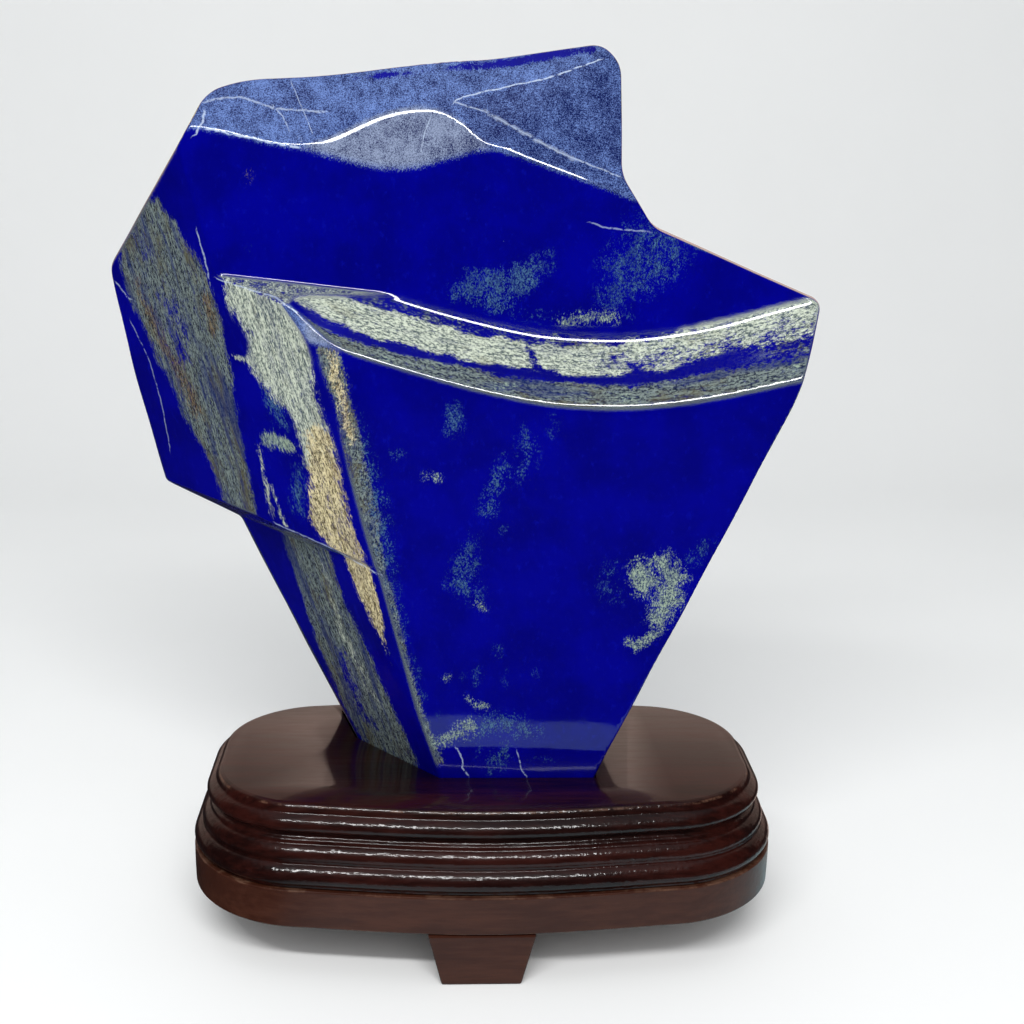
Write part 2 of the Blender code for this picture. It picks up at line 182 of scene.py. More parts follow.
@dataclass(frozen=True)
class Upland:
    """The bevel above the upper face, with a shallow dish sunk into its lower part.

    The stations run from left to right. At each, low is the z of the lower edge, rim the z at
    which the dish ends and the bevel proper begins, and soft how softly the two run together.
    """

    x: tuple[float, ...] = (-116, -107, -98, -88, -77.6, -66, -56, -46, -38.5, -31, -22.8, -12.7, -5, 0, 60)
    low: tuple[float, ...] = (348.5, 347, 345, 343, 341.6, 338.8, 336.3, 334.4, 334.4, 335, 337.4, 340.4, 342.6, 343.2, 344)
    rim: tuple[float, ...] = (348.5, 347, 345, 343, 342.2, 346.2, 351.0, 355.6, 357.7, 358.6, 358.0, 352.8, 345.5, 343.6, 344)
    soft: tuple[float, ...] = (0.8, 0.8, 0.8, 0.9, 1.4, 4.6, 5.2, 4.8, 4.2, 3.4, 2.2, 1.4, 0.9, 0.8, 0.8)
    dish_slope: float = 0.29
    bevel_slope: float = 0.656

    def lines(self, points: np.ndarray) -> tuple[np.ndarray, np.ndarray, np.ndarray]:
        """Lower edge, rim and softness at the x of each point."""
        x = points[:, 0]
        sides = [x - 3.0, x, x + 3.0]
        return tuple(sum(np.interp(side, self.x, row) for side in sides) / 3.0
                     for row in (self.low, self.rim, self.soft))

    def height(self, points: np.ndarray) -> np.ndarray:
        """Height of each point in front of the bevel and the dish."""
        x, y, z = points.T
        low, rim, soft = self.lines(points)
        over = z - rim
        turn = np.where(over > soft, over, np.maximum(over + soft, 0.0) ** 2 / (4.0 * soft))
        foot = Cut.UPPER_FACE.value.depth_at(x, low)
        front = foot + self.dish_slope * (z - low) + (self.bevel_slope - self.dish_slope) * turn
        return (front - y) * 0.87

    def in_dish(self, points: np.ndarray) -> np.ndarray:
        """Share of each point that lies in the dish and not on the bevel proper."""
        low, rim, soft = self.lines(points)
        return smooth_step(rim - points[:, 2], -0.6, 0.6) * smooth_step(rim - low, 0.5, 3.0)


@dataclass(frozen=True)
class Waviness:
    """Slow swell that hand polishing leaves in the facets."""

    depth: float = 0.16
    lengths: tuple[float, float, float] = (61.0, 43.0, 71.0)

    def take_off(self, points: np.ndarray) -> np.ndarray:
        """Depth taken off at each point, never negative."""
        x, y, z = points.T
        first, second, third = (2.0 * math.pi / length for length in self.lengths)
        swell = np.sin(first * x + 1.3 + 0.7 * np.sin(third * z))
        swell = swell + np.sin(second * z + 2.1 + 0.9 * np.sin(first * y + 0.4))
        return self.depth * (2.0 + swell) * 0.5


@dataclass
class StoneShape:
    """The stone as a field: below zero inside it, zero on its polished surface.

    The widths are how softly facets run into each other.
    """

    edge: float = 1.1
    outline: float = 4.0
    back: float = 12.0
    dish: float = 2.5
    upland: Upland = field(default_factory=Upland)
    valley: float = 2.2
    waviness: Waviness = field(default_factory=Waviness)

    @staticmethod
    def walls(points: np.ndarray, cuts: Iterable[Cut]) -> list[np.ndarray]:
        """Fields of cut planes as the stone sees them."""
        return [-cut.value.height(points) for cut in cuts]

    def parts(self, points: np.ndarray) -> dict[str, np.ndarray]:
        """Field of every named surface of the stone.

        Args:
            points: Places in the stand's frame, in millimetres.

        Returns:
            A field for each surface; some are made of several planes that run into each other.
        """
        high = {ground: ground.value.height(points) for ground in Ground}
        bands = self.walls(points, (Cut.BAND_1, Cut.BAND_2, Cut.BAND_3, Cut.BAND_4, Cut.BAND_5, Cut.BAND_6))
        corner = folded(self.walls(points, (Cut.LEFT_UPPER, Cut.TOP_LEFT)), smooth_min, self.dish)
        notch = folded(self.walls(points, (Cut.HORN_SIDE, Cut.SHOULDER_NECK, Cut.SHOULDER)), smooth_min, self.dish)
        sag = folded(self.walls(points, (Cut.SAG_LEFT, Cut.SAG_RIGHT)), smooth_min, 3.0 * self.dish)
        back = [high[g] for g in (Ground.BACK, Ground.BACK_LOWER, Ground.BACK_RIGHT, Ground.BACK_TOP)]
        return {
            "front": high[Ground.FRONT],
            "side": high[Ground.FRONT_LEFT],
            "left": high[Ground.LEFT],
            "upper": -Cut.UPPER_FACE.value.height(points),
            "band": folded(bands, smooth_min, self.dish),
            "tip": np.minimum(*self.walls(points, (Cut.BAND_TIP, Cut.TIP_END))),
            "bevel": self.upland.height(points),
            "horn": high[Ground.HORN_BEVEL],
            "ledge": -Cut.LEDGE.value.height(points),
            "strip": -Cut.LOWER_STRIP.value.height(points),
            "lower": -Cut.LOWER_LEFT.value.height(points),
            "lower_end": -Cut.LOWER_LEFT_EDGE.value.height(points),
            "left_end": smooth_max(high[Ground.LEFT_EDGE], corner, self.outline),
            "top": folded([high[Ground.TOP], sag, high[Ground.TOP_LEFT_EDGE], high[Ground.TOP_RIGHT_EDGE]],
                          smooth_max, self.outline),
            "notch": notch,
            "right": smooth_max(high[Ground.RIGHT], high[Ground.RIGHT_END], self.outline),
            "back": folded(back, smooth_max, self.back),
        }

    def level(self, points: np.ndarray) -> np.ndarray:
        """Field of the whole stone, in millimetres above its surface."""
        part = self.parts(points)
        band = smooth_max(part["band"], part["tip"], self.edge)
        step = smooth_min(part["upper"], band, self.valley)
        lower = folded([part["strip"], part["lower"], part["lower_end"]], smooth_max, self.edge)
        hollow = smooth_min(part["ledge"], lower, self.edge)
        upper = smooth_max(part["bevel"], part["horn"], self.edge)
        rim = folded([part["top"], part["notch"], part["right"], part["left_end"]], smooth_max, self.outline)
        body = smooth_max(rim, part["back"], self.edge * 2.0)
        front = [body, part["front"], part["side"], part["left"], upper, step, hollow]
        return folded(front, smooth_max, self.edge) + self.waviness.take_off(points)

    def slope(self, points: np.ndarray) -> np.ndarray:
        """Gradient of the field at each place."""
        reach = 0.05
        slopes = []
        for axis in range(3):
            shift = np.zeros(3)
            shift[axis] = reach
            slopes.append((self.level(points + shift) - self.level(points - shift)) / (2.0 * reach))
        return np.stack(slopes, 1)

    def settled(self, points: np.ndarray) -> np.ndarray:
        """Points moved onto the polished surface along the slope of the field."""
        for _ in range(4):
            slope = self.slope(points)
            steep = np.maximum((slope * slope).sum(1, keepdims=True), 0.05)
            move = -self.level(points)[:, None] * slope / steep
            points = points + np.clip(move, -2.5, 2.5)
        return points


class Marking(Enum):
    """What a vein or patch in the stone is made of."""

    GREY = "grey"
    BROWN = "brown"
    SAGE = "sage"
    TEAL = "teal"
    CREAM = "cream"
    GOLD = "gold"
    BLUE = "blue"


class Zone(Enum):
    """Surfaces of the stone that carry their own markings."""

    FRONT = "front"
    SIDE = "side"
    LEFT = "left"
    UPPER = "upper"
    BAND = "band"
    TIP = "tip"
    BEVEL = "bevel"
    HORN = "horn"
    DISH = "dish"
    STRIP = "strip"
    LOWER = "lower"
    TOP = "top"
    REST = "rest"


FACET_OF = {
    Zone.FRONT: Ground.FRONT.value,
    Zone.SIDE: Ground.FRONT_LEFT.value,
    Zone.LEFT: Ground.LEFT.value,
    Zone.UPPER: Cut.UPPER_FACE.value,
    Zone.TIP: Cut.BAND_TIP.value,
    Zone.BEVEL: Facet(((-115, -6, 349), (-2, -6, 344), (-60, 10, 371))),
    Zone.HORN: Ground.HORN_BEVEL.value,
    Zone.STRIP: Cut.LOWER_STRIP.value,
    Zone.LOWER: Cut.LOWER_LEFT.value,
}


@dataclass(frozen=True)
class Vein:
    """A vein or patch that runs through stations on one facet, each with its half width.

    Args:
        marking: What it is made of.
        zone: The surface that it lies on.
        stations: x, z and half width of each station, in millimetres.
        feather: Over how many millimetres its border fades into grains.
        strength: How fully it covers what is under it.
    """

    marking: Marking
    zone: Zone
    stations: tuple[Point, ...]
    feather: float = 2.0
    strength: float = 1.15

    def cover(self, points: np.ndarray) -> np.ndarray:
        """How fully the vein covers each point; over 1 in its heart."""
        facet = FACET_OF[self.zone]
        spots = np.array([(x, facet.depth_at(x, z), z) for x, z, _ in self.stations])
        widths = np.array([width for _, _, width in self.stations])
        depth = widths[0] - np.linalg.norm(points - spots[0], axis=1)
        for start, end, first, last in zip(spots, spots[1:], widths, widths[1:]):
            along = end - start
            share = np.clip(((points - start) @ along) / (along @ along), 0.0, 1.0)
            gap = np.linalg.norm(points - start - share[:, None] * along, axis=1)
            depth = np.maximum(depth, first + (last - first) * share - gap)
        return self.strength * np.clip(0.5 + depth / self.feather, 0.0, 1.0)


VEINS = (
    Vein(Marking.GREY, Zone.LEFT, (
        (-139.1, 317, 2.8), (-143.4, 308.4, 11.8), (-144, 300, 18.4), (-142.2, 293, 24.7), (-140, 285.5, 27.6),
        (-135, 277.6, 28.5), (-132, 269.3, 27.4), (-129.6, 260.9, 26), (-126.5, 252.6, 24.2), (-123.6, 244.2, 21.3),
        (-121.8, 235.6, 20.7), (-119.2, 227, 18.1), (-116, 218.6, 15.6), (-113.2, 210, 13.4), (-110.8, 201.1, 12.8),
        (-108.4, 192.4, 11.3), (-104.8, 186.8, 8.4)), 6.0),
    Vein(Marking.BROWN, Zone.LEFT, (
        (-152.2, 283, 3), (-149.8, 275.4, 3.7), (-146.6, 267, 4.6), (-141.3, 256.6, 4.5), (-135.6, 246.4, 5.2),
        (-129.4, 236.2, 5.2), (-126.9, 229, 3.7)), 9.0, 0.75),
    Vein(Marking.BROWN, Zone.LEFT, ((-117.8, 280.9, 2.4), (-117, 275.1, 3.4), (-115.8, 267.6, 2.7)), 5.0, 0.9),
    Vein(Marking.BLUE, Zone.LEFT, ((-137.8, 277.2, 6.5), (-134.4, 266.8, 9.1), (-133.2, 255.8, 7.3)), 14.0, 0.55),
    Vein(Marking.BLUE, Zone.LEFT, ((-150, 303, 5.0), (-147, 296, 5.0)), 12.0, 0.5),
    Vein(Marking.CREAM, Zone.SIDE, (
        (-98.9, 286.2, 11.9), (-94.4, 280.6, 15.6), (-90.6, 273.9, 15.3), (-87.8, 266.7, 14.2), (-87, 259.3, 15.5),
        (-83.2, 250.4, 12.2), (-79.2, 244.6, 9.2), (-77.2, 240.6, 7.7), (-74.6, 234.4, 7), (-72.5, 226, 7.8),
        (-71, 219.3, 8.3)), 5.0, 1.05),
    Vein(Marking.BLUE, Zone.SIDE, ((-105.4, 274.1, 2.8), (-102.8, 267.2, 4.4), (-103, 261.7, 3.3)), 7.0, 0.8),
    Vein(Marking.CREAM, Zone.SIDE, ((-107.9, 258.2, 0.8), (-100.4, 256.5, 1.2), (-94.5, 252.9, 2.0)), 1.5, 0.9),
    Vein(Marking.GOLD, Zone.SIDE, (
        (-71.4, 226.2, 6.5), (-69.9, 219.4, 7), (-69.2, 213.4, 7.6), (-69, 206.8, 8.1), (-68.1, 200.1, 8.9),
        (-67.6, 193.4, 10.2), (-64.8, 187, 9.2), (-61.2, 180.8, 7.4), (-58.6, 176.2, 6.4)), 5.0, 0.95),
    Vein(Marking.TEAL, Zone.SIDE, ((-92.2, 245.9, 3.4), (-89, 239, 4.2), (-87.6, 231.8, 3.8)), 7.0, 0.8),
    Vein(Marking.SAGE, Zone.SIDE, ((-93.3, 223, 3.4), (-87.6, 222.5, 3.8), (-83.2, 221.8, 2.5)), 4.0, 0.95),
    Vein(Marking.TEAL, Zone.SIDE, ((-79.7, 211.7, 3), (-80, 202.6, 4.2), (-81.2, 193.3, 3.8)), 7.0, 0.7),
    Vein(Marking.CREAM, Zone.SIDE, (
        (-97.9, 220.6, 0.5), (-96.9, 213.5, 0.7), (-95.5, 204.6, 0.8), (-94.2, 195.6, 0.8), (-92.7, 188.5, 0.6)),
        1.6, 0.9),
    Vein(Marking.CREAM, Zone.SIDE, (
        (-93.4, 203.1, 0.5), (-91, 196.2, 0.7), (-89.4, 190.9, 0.8), (-86.9, 184.8, 0.8)), 1.6, 0.9),
    Vein(Marking.GREY, Zone.FRONT, (
        (-67.8, 268.2, 2.8), (-65.6, 260.2, 4.4), (-63.3, 252.2, 4), (-61, 244, 3.2), (-58.9, 235.8, 3.4),
        (-57.2, 227.4, 3.7), (-56, 219.1, 3.7), (-54.3, 210.6, 4.3), (-52.5, 202.1, 4.5), (-50.4, 193.6, 4.8),
        (-49.4, 184.9, 3.8), (-47.3, 176.1, 3.3), (-44.6, 167.4, 2.3), (-42.2, 158.4, 2.4), (-40.5, 149.5, 2.3),
        (-38.6, 140.4, 2.5), (-36, 131.3, 2.2), (-34.2, 122.1, 2.3), (-32, 112.8, 2.8), (-29.8, 103.4, 2.8),
        (-26.3, 94, 3.3), (-22.8, 84.4, 3.2)), 3.5),
    Vein(Marking.GOLD, Zone.FRONT, (
        (-65, 264.3, 2.2), (-64.1, 256.2, 2.6), (-62, 248.1, 2.4), (-60.3, 239.9, 2.2), (-58.4, 231.6, 1.9),
        (-57.2, 225.4, 1.2)), 3.5, 0.72),
    Vein(Marking.TEAL, Zone.FRONT, (
        (-54.0, 236, 1.5), (-50.5, 219, 2.5), (-47.0, 200, 4.5), (-45.0, 184, 4.5), (-41.0, 165, 2.5),
        (-36.0, 140, 1.5), (-29.0, 115, 2.0)), 7.0, 0.62),
    Vein(Marking.TEAL, Zone.FRONT, ((-15.4, 239.6, 3.4), (-16.1, 232.9, 3.4)), 6.0, 0.8),
    Vein(Marking.TEAL, Zone.FRONT, ((-40.5, 221.4, 1.5), (-37.7, 221.8, 1.5)), 5.0, 0.75),
    Vein(Marking.SAGE, Zone.FRONT, ((-26.6, 212.6, 1.5), (-21.6, 211.8, 1.0)), 5.0, 0.85),
    Vein(Marking.TEAL, Zone.FRONT, ((13.4, 230.2, 3.2), (15.6, 219.8, 3.0), (10.6, 212, 1.5)), 8.0, 0.66),
    Vein(Marking.TEAL, Zone.FRONT, ((24.0, 238.0, 1.5), (25.0, 231.0, 1.5)), 7.0, 0.55),
    Vein(Marking.TEAL, Zone.FRONT, ((5.3, 218.9, 2.8), (1, 206.9, 3.2), (-1.7, 198.3, 3.8)), 7.0, 0.7),
    Vein(Marking.TEAL, Zone.FRONT, (
        (-7.6, 186, 2.1), (-9.8, 176, 4.3), (-12.8, 167, 5.3), (-6.3, 160.9, 3.8), (-3, 155.9, 1.4)), 9.0, 0.72),
    Vein(Marking.SAGE, Zone.FRONT, ((-5.5, 156.9, 1.4), (-2.5, 155.0, 1.4)), 4.0, 0.7),
    Vein(Marking.TEAL, Zone.FRONT, ((4.7, 189.2, 1.5), (7.0, 190.0, 1.0)), 4.0, 0.6),
    Vein(Marking.SAGE, Zone.FRONT, ((63.6, 172.5, 4.6), (65.6, 166.2, 5.0)), 8.0, 1.0),
    Vein(Marking.SAGE, Zone.FRONT, (
        (73.3, 175.5, 4.0), (77.5, 167.5, 5.4), (75.6, 158.6, 5.4), (72.3, 150.4, 4.0)), 10.0, 0.95),
    Vein(Marking.TEAL, Zone.FRONT, ((50.7, 173.4, 2.9), (49.0, 163.0, 2.5), (55.0, 159.0, 1.5)), 9.0, 0.55),
    Vein(Marking.TEAL, Zone.FRONT, ((84.0, 176.5, 2.9), (92.0, 184.5, 2.5)), 9.0, 0.6),
    Vein(Marking.SAGE, Zone.FRONT, ((60.2, 139.5, 1.6), (64.2, 137.9, 2.4), (71.2, 143.8, 1.8)), 4.5, 0.95),
    Vein(Marking.SAGE, Zone.FRONT, ((-18.6, 122.1, 1.1), (-17.1, 123.0, 1.1)), 4.0, 0.8),
    Vein(Marking.TEAL, Zone.FRONT, ((-10.8, 123.5, 1.0),), 4.0, 0.7),
    Vein(Marking.TEAL, Zone.FRONT, ((-4.8, 127.5, 1.2), (-4.4, 121.5, 1.6)), 5.0, 0.75),
    Vein(Marking.TEAL, Zone.FRONT, ((3.6, 137.1, 1.3), (4.6, 133.6, 1.3)), 4.0, 0.75),
    Vein(Marking.TEAL, Zone.FRONT, ((20.1, 127.0, 1.0), (20.8, 124.0, 1.0)), 4.0, 0.6),
    Vein(Marking.TEAL, Zone.FRONT, ((7.0, 126.0, 1.0), (8.0, 120.5, 1.2)), 4.5, 0.6),
    Vein(Marking.SAGE, Zone.FRONT, ((-9.0, 114.5, 0.9), (-5.0, 110.5, 1.3), (-0.5, 109.6, 1.3)), 3.5, 0.85),
    Vein(Marking.TEAL, Zone.FRONT, ((-20.5, 106.0, 1.0),), 4.0, 0.6),
    Vein(Marking.SAGE, Zone.FRONT, ((-22.8, 93, 2.6), (-17.3, 94.9, 2.4), (-8.3, 99.6, 3.9)), 7.0, 0.85),
    Vein(Marking.TEAL, Zone.FRONT, ((-5.3, 99.6, 4.9), (5.5, 101.5, 5.8), (14.3, 99.6, 4.9), (20.9, 97.3, 2.8)), 9.0, 0.72),
    Vein(Marking.TEAL, Zone.FRONT, ((7.8, 90.8, 2.1), (6.4, 86.8, 4.1), (3.7, 80.5, 3.8)), 6.0, 0.66),
    Vein(Marking.TEAL, Zone.FRONT, ((-3.8, 89.2, 1.5), (-3.2, 85.2, 1.5)), 5.0, 0.55),
    Vein(Marking.TEAL, Zone.FRONT, ((19, 85.3, 1.4), (30.0, 84.0, 1.0)), 5.0, 0.5),
    Vein(Marking.GOLD, Zone.STRIP, (
        (-56.2, 172.9, 6.5), (-54.4, 165.3, 6.2), (-51.8, 156.4, 6), (-50.2, 147.2, 6), (-48, 138, 4.8),
        (-47.2, 134.7, 4.3)), 2.0),
    Vein(Marking.SAGE, Zone.STRIP, (
        (-45.9, 131.1, 4.3), (-43.8, 124.2, 3.7), (-40.6, 115.2, 3.5), (-37.2, 106, 3.2), (-34.2, 96.7, 2.6),
        (-30.6, 87.6, 2), (-26.5, 79.6, 1.7)), 2.0),
    Vein(Marking.GREY, Zone.LOWER, (
        (-79.6, 173.7, 15.8), (-77.9, 166.6, 16.3), (-75.4, 157.1, 15.7), (-72.1, 147.8, 15.7), (-69.2, 138.4, 17.5),
        (-66, 128.8, 18.7), (-61.8, 119.8, 19.2), (-58.4, 110.2, 19.3), (-54.4, 100.8, 19.4), (-50.3, 91.5, 18.6),
        (-46.6, 84.8, 18.6), (-42.8, 78.2, 17.3)), 5.0),
    Vein(Marking.CREAM, Zone.LOWER, (
        (-72.4, 163.7, 1.8), (-68.8, 149.4, 2.6), (-62.9, 130.4, 3.4), (-56.8, 116.8, 3.3), (-48.6, 104, 2.6)),
        9.0, 0.6),
    Vein(Marking.BLUE, Zone.LOWER, (
        (-64.7, 121.1, 3.6), (-62.2, 111, 4.7), (-58.8, 98.4, 4), (-51.4, 87.9, 4)), 9.0, 0.75),
    Vein(Marking.TEAL, Zone.UPPER, (
        (-15.7, 285.8, 3.1), (-8.8, 288.6, 6.3), (0.6, 286.9, 8.2), (8.8, 290.3, 6.5), (20.9, 298.5, 3.9)), 8.0, 0.8),
    Vein(Marking.TEAL, Zone.UPPER, (
        (48.9, 285.6, 6.3), (56, 295.8, 12.3), (66.1, 301.3, 12.3), (72.9, 305.2, 9), (59.5, 312, 6.3)), 12.0, 0.62),
    Vein(Marking.SAGE, Zone.UPPER, ((27.7, 274.3, 2.0), (40, 276.1, 2.6), (50.4, 276.2, 2.4)), 5.0, 0.65),
    Vein(Marking.TEAL, Zone.UPPER, ((10.0, 277.0, 2.0), (27.7, 275.3, 2.6), (55.0, 277.0, 3.0)), 7.0, 0.5),
    Vein(Marking.BROWN, Zone.UPPER, ((-98.3, 331.1, 1.2), (-99.6, 328.0, 0.8)), 5.0, 0.6),
    Vein(Marking.TEAL, Zone.UPPER, ((-99.8, 302.5, 0.8), (-98.3, 298.6, 1.2)), 4.0, 0.45),
    Vein(Marking.BLUE, Zone.BEVEL, (
        (-112, 365.5, 0.5), (-79, 368.2, 0.8), (-58.8, 369.5, 1.1), (-38.6, 370.6, 1.3), (-22.6, 371.8, 1.5),
        (-6.2, 375.2, 2.0), (10, 377.6, 2.2), (26, 381.0, 2.6), (40, 382.8, 2.0)), 2.2, 1.0),
)


@dataclass(frozen=True)
class Thread:
    """A thin pale line on the front of the stone; some are veins and some are painted highlights along ridges.

    Args:
        layer: Threads of one layer never meet.
        stations: x and z of each bend in the front view, in millimetres.
        half: Half its width.
        strength: How fully it shows.
    """

    layer: int
    stations: tuple[tuple[float, float], ...]
    half: float = 0.28
    strength: float = 0.8

    def gaps(self, flat: np.ndarray) -> tuple[np.ndarray, np.ndarray]:
        """How far places lie to the left or right of the line.

        Args:
            flat: x and z of the places.

        Returns:
            The distance, below zero on one side, and a share that fades past the line's ends.
        """
        best = np.full(len(flat), 1000.0)
        past = np.zeros(len(flat))
        last = len(self.stations) - 2
        for i, (start, end) in enumerate(zip(self.stations, self.stations[1:])):
            along = np.array(end) - np.array(start)
            length = np.linalg.norm(along)
            reach = flat - np.array(start)
            raw = reach @ along / length
            off = reach - np.clip(raw, 0.0, length)[:, None] * along / length
            gap = np.copysign(np.linalg.norm(off, axis=1), along[0] * reach[:, 1] - along[1] * reach[:, 0])
            over = np.maximum(-raw if i == 0 else 0.0, 0.0) + np.maximum(raw - length if i == last else 0.0, 0.0)
            nearer = np.abs(gap) < np.abs(best)
            best, past = np.where(nearer, gap, best), np.where(nearer, over, past)
        return best, np.clip(1.0 - past / 1.2, 0.0, 1.0)


THREADS = (
    # Painted highlight along the ridge from the band's left tip.
    Thread(1, ((-112.4, 289.6), (-95.9, 286), (-87.7, 284.1), (-78.5, 278.8)), 0.24, 0.55),
    # Painted highlight along the ridge above the band's left tip.
    Thread(2, ((-120.3, 308.9), (-118.2, 301), (-115.4, 287.1)), 0.3, 0.6),
    # Painted highlight along the horn's upper ridge.
    Thread(0, ((-16.8, 360.5), (-13.6, 362.5), (1.8, 366.3), (20.3, 370.3), (36.9, 376.2), (43.6, 378.8)), 0.26, 0.8),
    # Painted highlight along the horn's lower ridge.
    Thread(1, ((-16.8, 360.5), (-3.9, 356.9), (9.9, 349.8), (26.2, 341.6), (50.9, 332.7)), 0.26, 0.55),
    Thread(2, ((-4.3, 357.3), (11.9, 348.7), (32.3, 339)), 0.7, 0.3),
    Thread(0, ((-116.5, 358.3), (-111.9, 359.6), (-102.1, 360.5), (-89.3, 356.6), (-68.3, 355.5)), 0.36, 0.5),
    Thread(1, ((-89.3, 357.4), (-85.2, 353.6), (-82.6, 348.4)), 0.26, 0.45),
    Thread(2, ((-82.6, 366.8), (-73.1, 347.1)), 0.16, 0.5),
    Thread(2, ((-26, 354.1), (-28.3, 349.5), (-29.8, 341.8)), 0.2, 0.5),
    Thread(0, ((38.9, 314.8), (45.1, 312.5), (63.6, 311.3)), 0.28, 0.4),
    Thread(0, ((-164.2, 281.4), (-158.5, 275), (-155.3, 274.6)), 0.3, 0.5),
    Thread(1, ((-158.1, 264.2), (-149.7, 247.3), (-145.3, 228.1), (-143.1, 207.1)), 0.24, 0.4),
    Thread(1, ((-115.8, 354.5), (-116.4, 350.7), (-119.5, 345.8)), 0.4, 0.7),
    # Painted highlight along the lower edge of the bevel.
    Thread(2, ((-115.6, 348.5), (-97.6, 345), (-78, 341.6)), 0.4, 0.75),
    Thread(0, ((-13, 90.1), (-10.3, 83.4), (-11.0, 81.0), (-8, 76.7)), 0.3, 0.6),
    Thread(0, ((13.0, 88.6), (14.7, 83.4), (15.2, 80.0), (17.5, 76.6)), 0.24, 0.5),
    # Painted highlight along the lip of the ledge.
    Thread(0, ((-91.9, 185.3), (-67.6, 178.2), (-46.1, 169.4)), 0.34, 0.6),
)


@dataclass(frozen=True)
class Sheet:
    """A layer that runs through the whole stone and shows on its rim and back.

    Args:
        marking: What it is made of.
        place: A point of the layer, in millimetres.
        facing: Its direction, not yet of length one.
        half: Half its thickness.
        wander: How far it strays from its plane.
    """

    marking: Marking
    place: Point
    facing: Point
    half: float
    wander: float = 7.0

    def cover(self, points: np.ndarray) -> np.ndarray:
        """How fully the layer covers each point."""
        normal = np.array(self.facing) / np.linalg.norm(self.facing)
        x, y, z = points.T
        stray = np.sin(x / 31.0 + self.half) + 0.6 * np.sin(z / 17.0 + 0.5 * np.sin(x / 13.0))
        stray = stray + 0.35 * np.sin(x / 6.1 + z / 8.3) + 0.3 * np.sin(y / 9.0)
        gap = np.abs((points - np.array(self.place)) @ normal + self.wander * stray)
        return 1.1 * np.clip(0.5 + (self.half - gap) / 6.0, 0.0, 1.0)


SHEETS = (
    Sheet(Marking.CREAM, (0, -18, 257), (0.05, -0.35, 1.0), 6.0),
    Sheet(Marking.GREY, (0, -24, 246), (0.05, -0.35, 1.0), 9.0, 9.0),
    Sheet(Marking.GREY, (-100, 0, 240), (1.0, 0.55, 0.28), 13.0, 9.0),
    Sheet(Marking.GOLD, (-62, -20, 190), (1.0, 0.5, 0.28), 4.0, 5.0),
    Sheet(Marking.GREY, (0, 20, 372), (0.05, 0.3, 1.0), 16.0, 8.0),
    Sheet(Marking.TEAL, (60, 0, 300), (0.7, -0.2, -0.7), 9.0, 10.0),
)


@dataclass
class StoneMesh:
    """The dense mesh of the stone, grown from the CAD node and settled on its field."""

    shape: StoneShape
    shift: float
    cell: float = 1.7
    quick_cell: float = 3.2

    def grown(self, node: bpy.types.Object) -> bpy.types.Object:
        """An even mesh wrapped round the CAD stone."""
        obj = bpy.data.objects.new("stone", node.data.copy())
        bpy.context.scene.collection.objects.link(obj)
        wrap = obj.modifiers.new("even mesh", "REMESH")
        wrap.mode = "VOXEL"
        wrap.voxel_size = self.cell * MM
        depsgraph = bpy.context.evaluated_depsgraph_get()
        mesh = bpy.data.meshes.new_from_object(obj.evaluated_get(depsgraph))
        obj.modifiers.clear()
        obj.data = mesh
        mesh.materials.clear()
        return obj

    def places(self, mesh: bpy.types.Mesh) -> np.ndarray:
        """Vertices of the mesh in the stand's frame, in millimetres."""
        flat = np.empty(len(mesh.vertices) * 3)
        mesh.vertices.foreach_get("co", flat)
        return flat.reshape(-1, 3) / MM - np.array((self.shift, 0.0, 0.0))

    def write(self, mesh: bpy.types.Mesh, points: np.ndarray) -> None:
        """Move the mesh's vertices to points in the stand's frame."""
        moved = (points + np.array((self.shift, 0.0, 0.0))) * MM
        mesh.vertices.foreach_set("co", moved.ravel())
        mesh.update()

    def refine(self, mesh: bpy.types.Mesh, turn: float) -> None:
        """Split edges whose ends face directions that differ by more than a turn, in degrees."""
        slope = self.shape.slope(self.places(mesh))
        slope /= np.linalg.norm(slope, axis=1, keepdims=True)
        bm = bmesh.new()
        bm.from_mesh(mesh)
        bm.verts.ensure_lookup_table()
        limit = math.cos(math.radians(turn))
        bent = [edge for edge in bm.edges
                if slope[edge.verts[0].index] @ slope[edge.verts[1].index] < limit]
        bmesh.ops.subdivide_edges(bm, edges=bent, cuts=1, use_grid_fill=True)
        bmesh.ops.triangulate(bm, faces=[face for face in bm.faces if len(face.verts) > 4])
        bm.to_mesh(mesh)
        bm.free()

    def build(self, node: bpy.types.Object) -> bpy.types.Object:
        """Make the stone's mesh.

        Args:
            node: The CAD node that it stands for.

        Returns:
            The new object, settled on the field and smooth shaded.
        """
        obj = self.grown(node)
        mesh = obj.data
        self.write(mesh, self.shape.settled(self.places(mesh)))
        self.refine(mesh, 9.0)
        self.write(mesh, self.shape.settled(self.places(mesh)))
        mesh.shade_smooth()
        slope = self.shape.slope(self.places(mesh))
        slope /= np.linalg.norm(slope, axis=1, keepdims=True)
        mesh.normals_split_custom_set_from_vertices(slope.tolist())
        return obj


def put(mesh: bpy.types.Mesh, name: str, values: np.ndarray) -> None:
    """Store one number per vertex under a name that the material reads."""
    layer = mesh.attributes.new(name, "FLOAT", "POINT")
    layer.data.foreach_set("value", np.ascontiguousarray(values, np.float32))


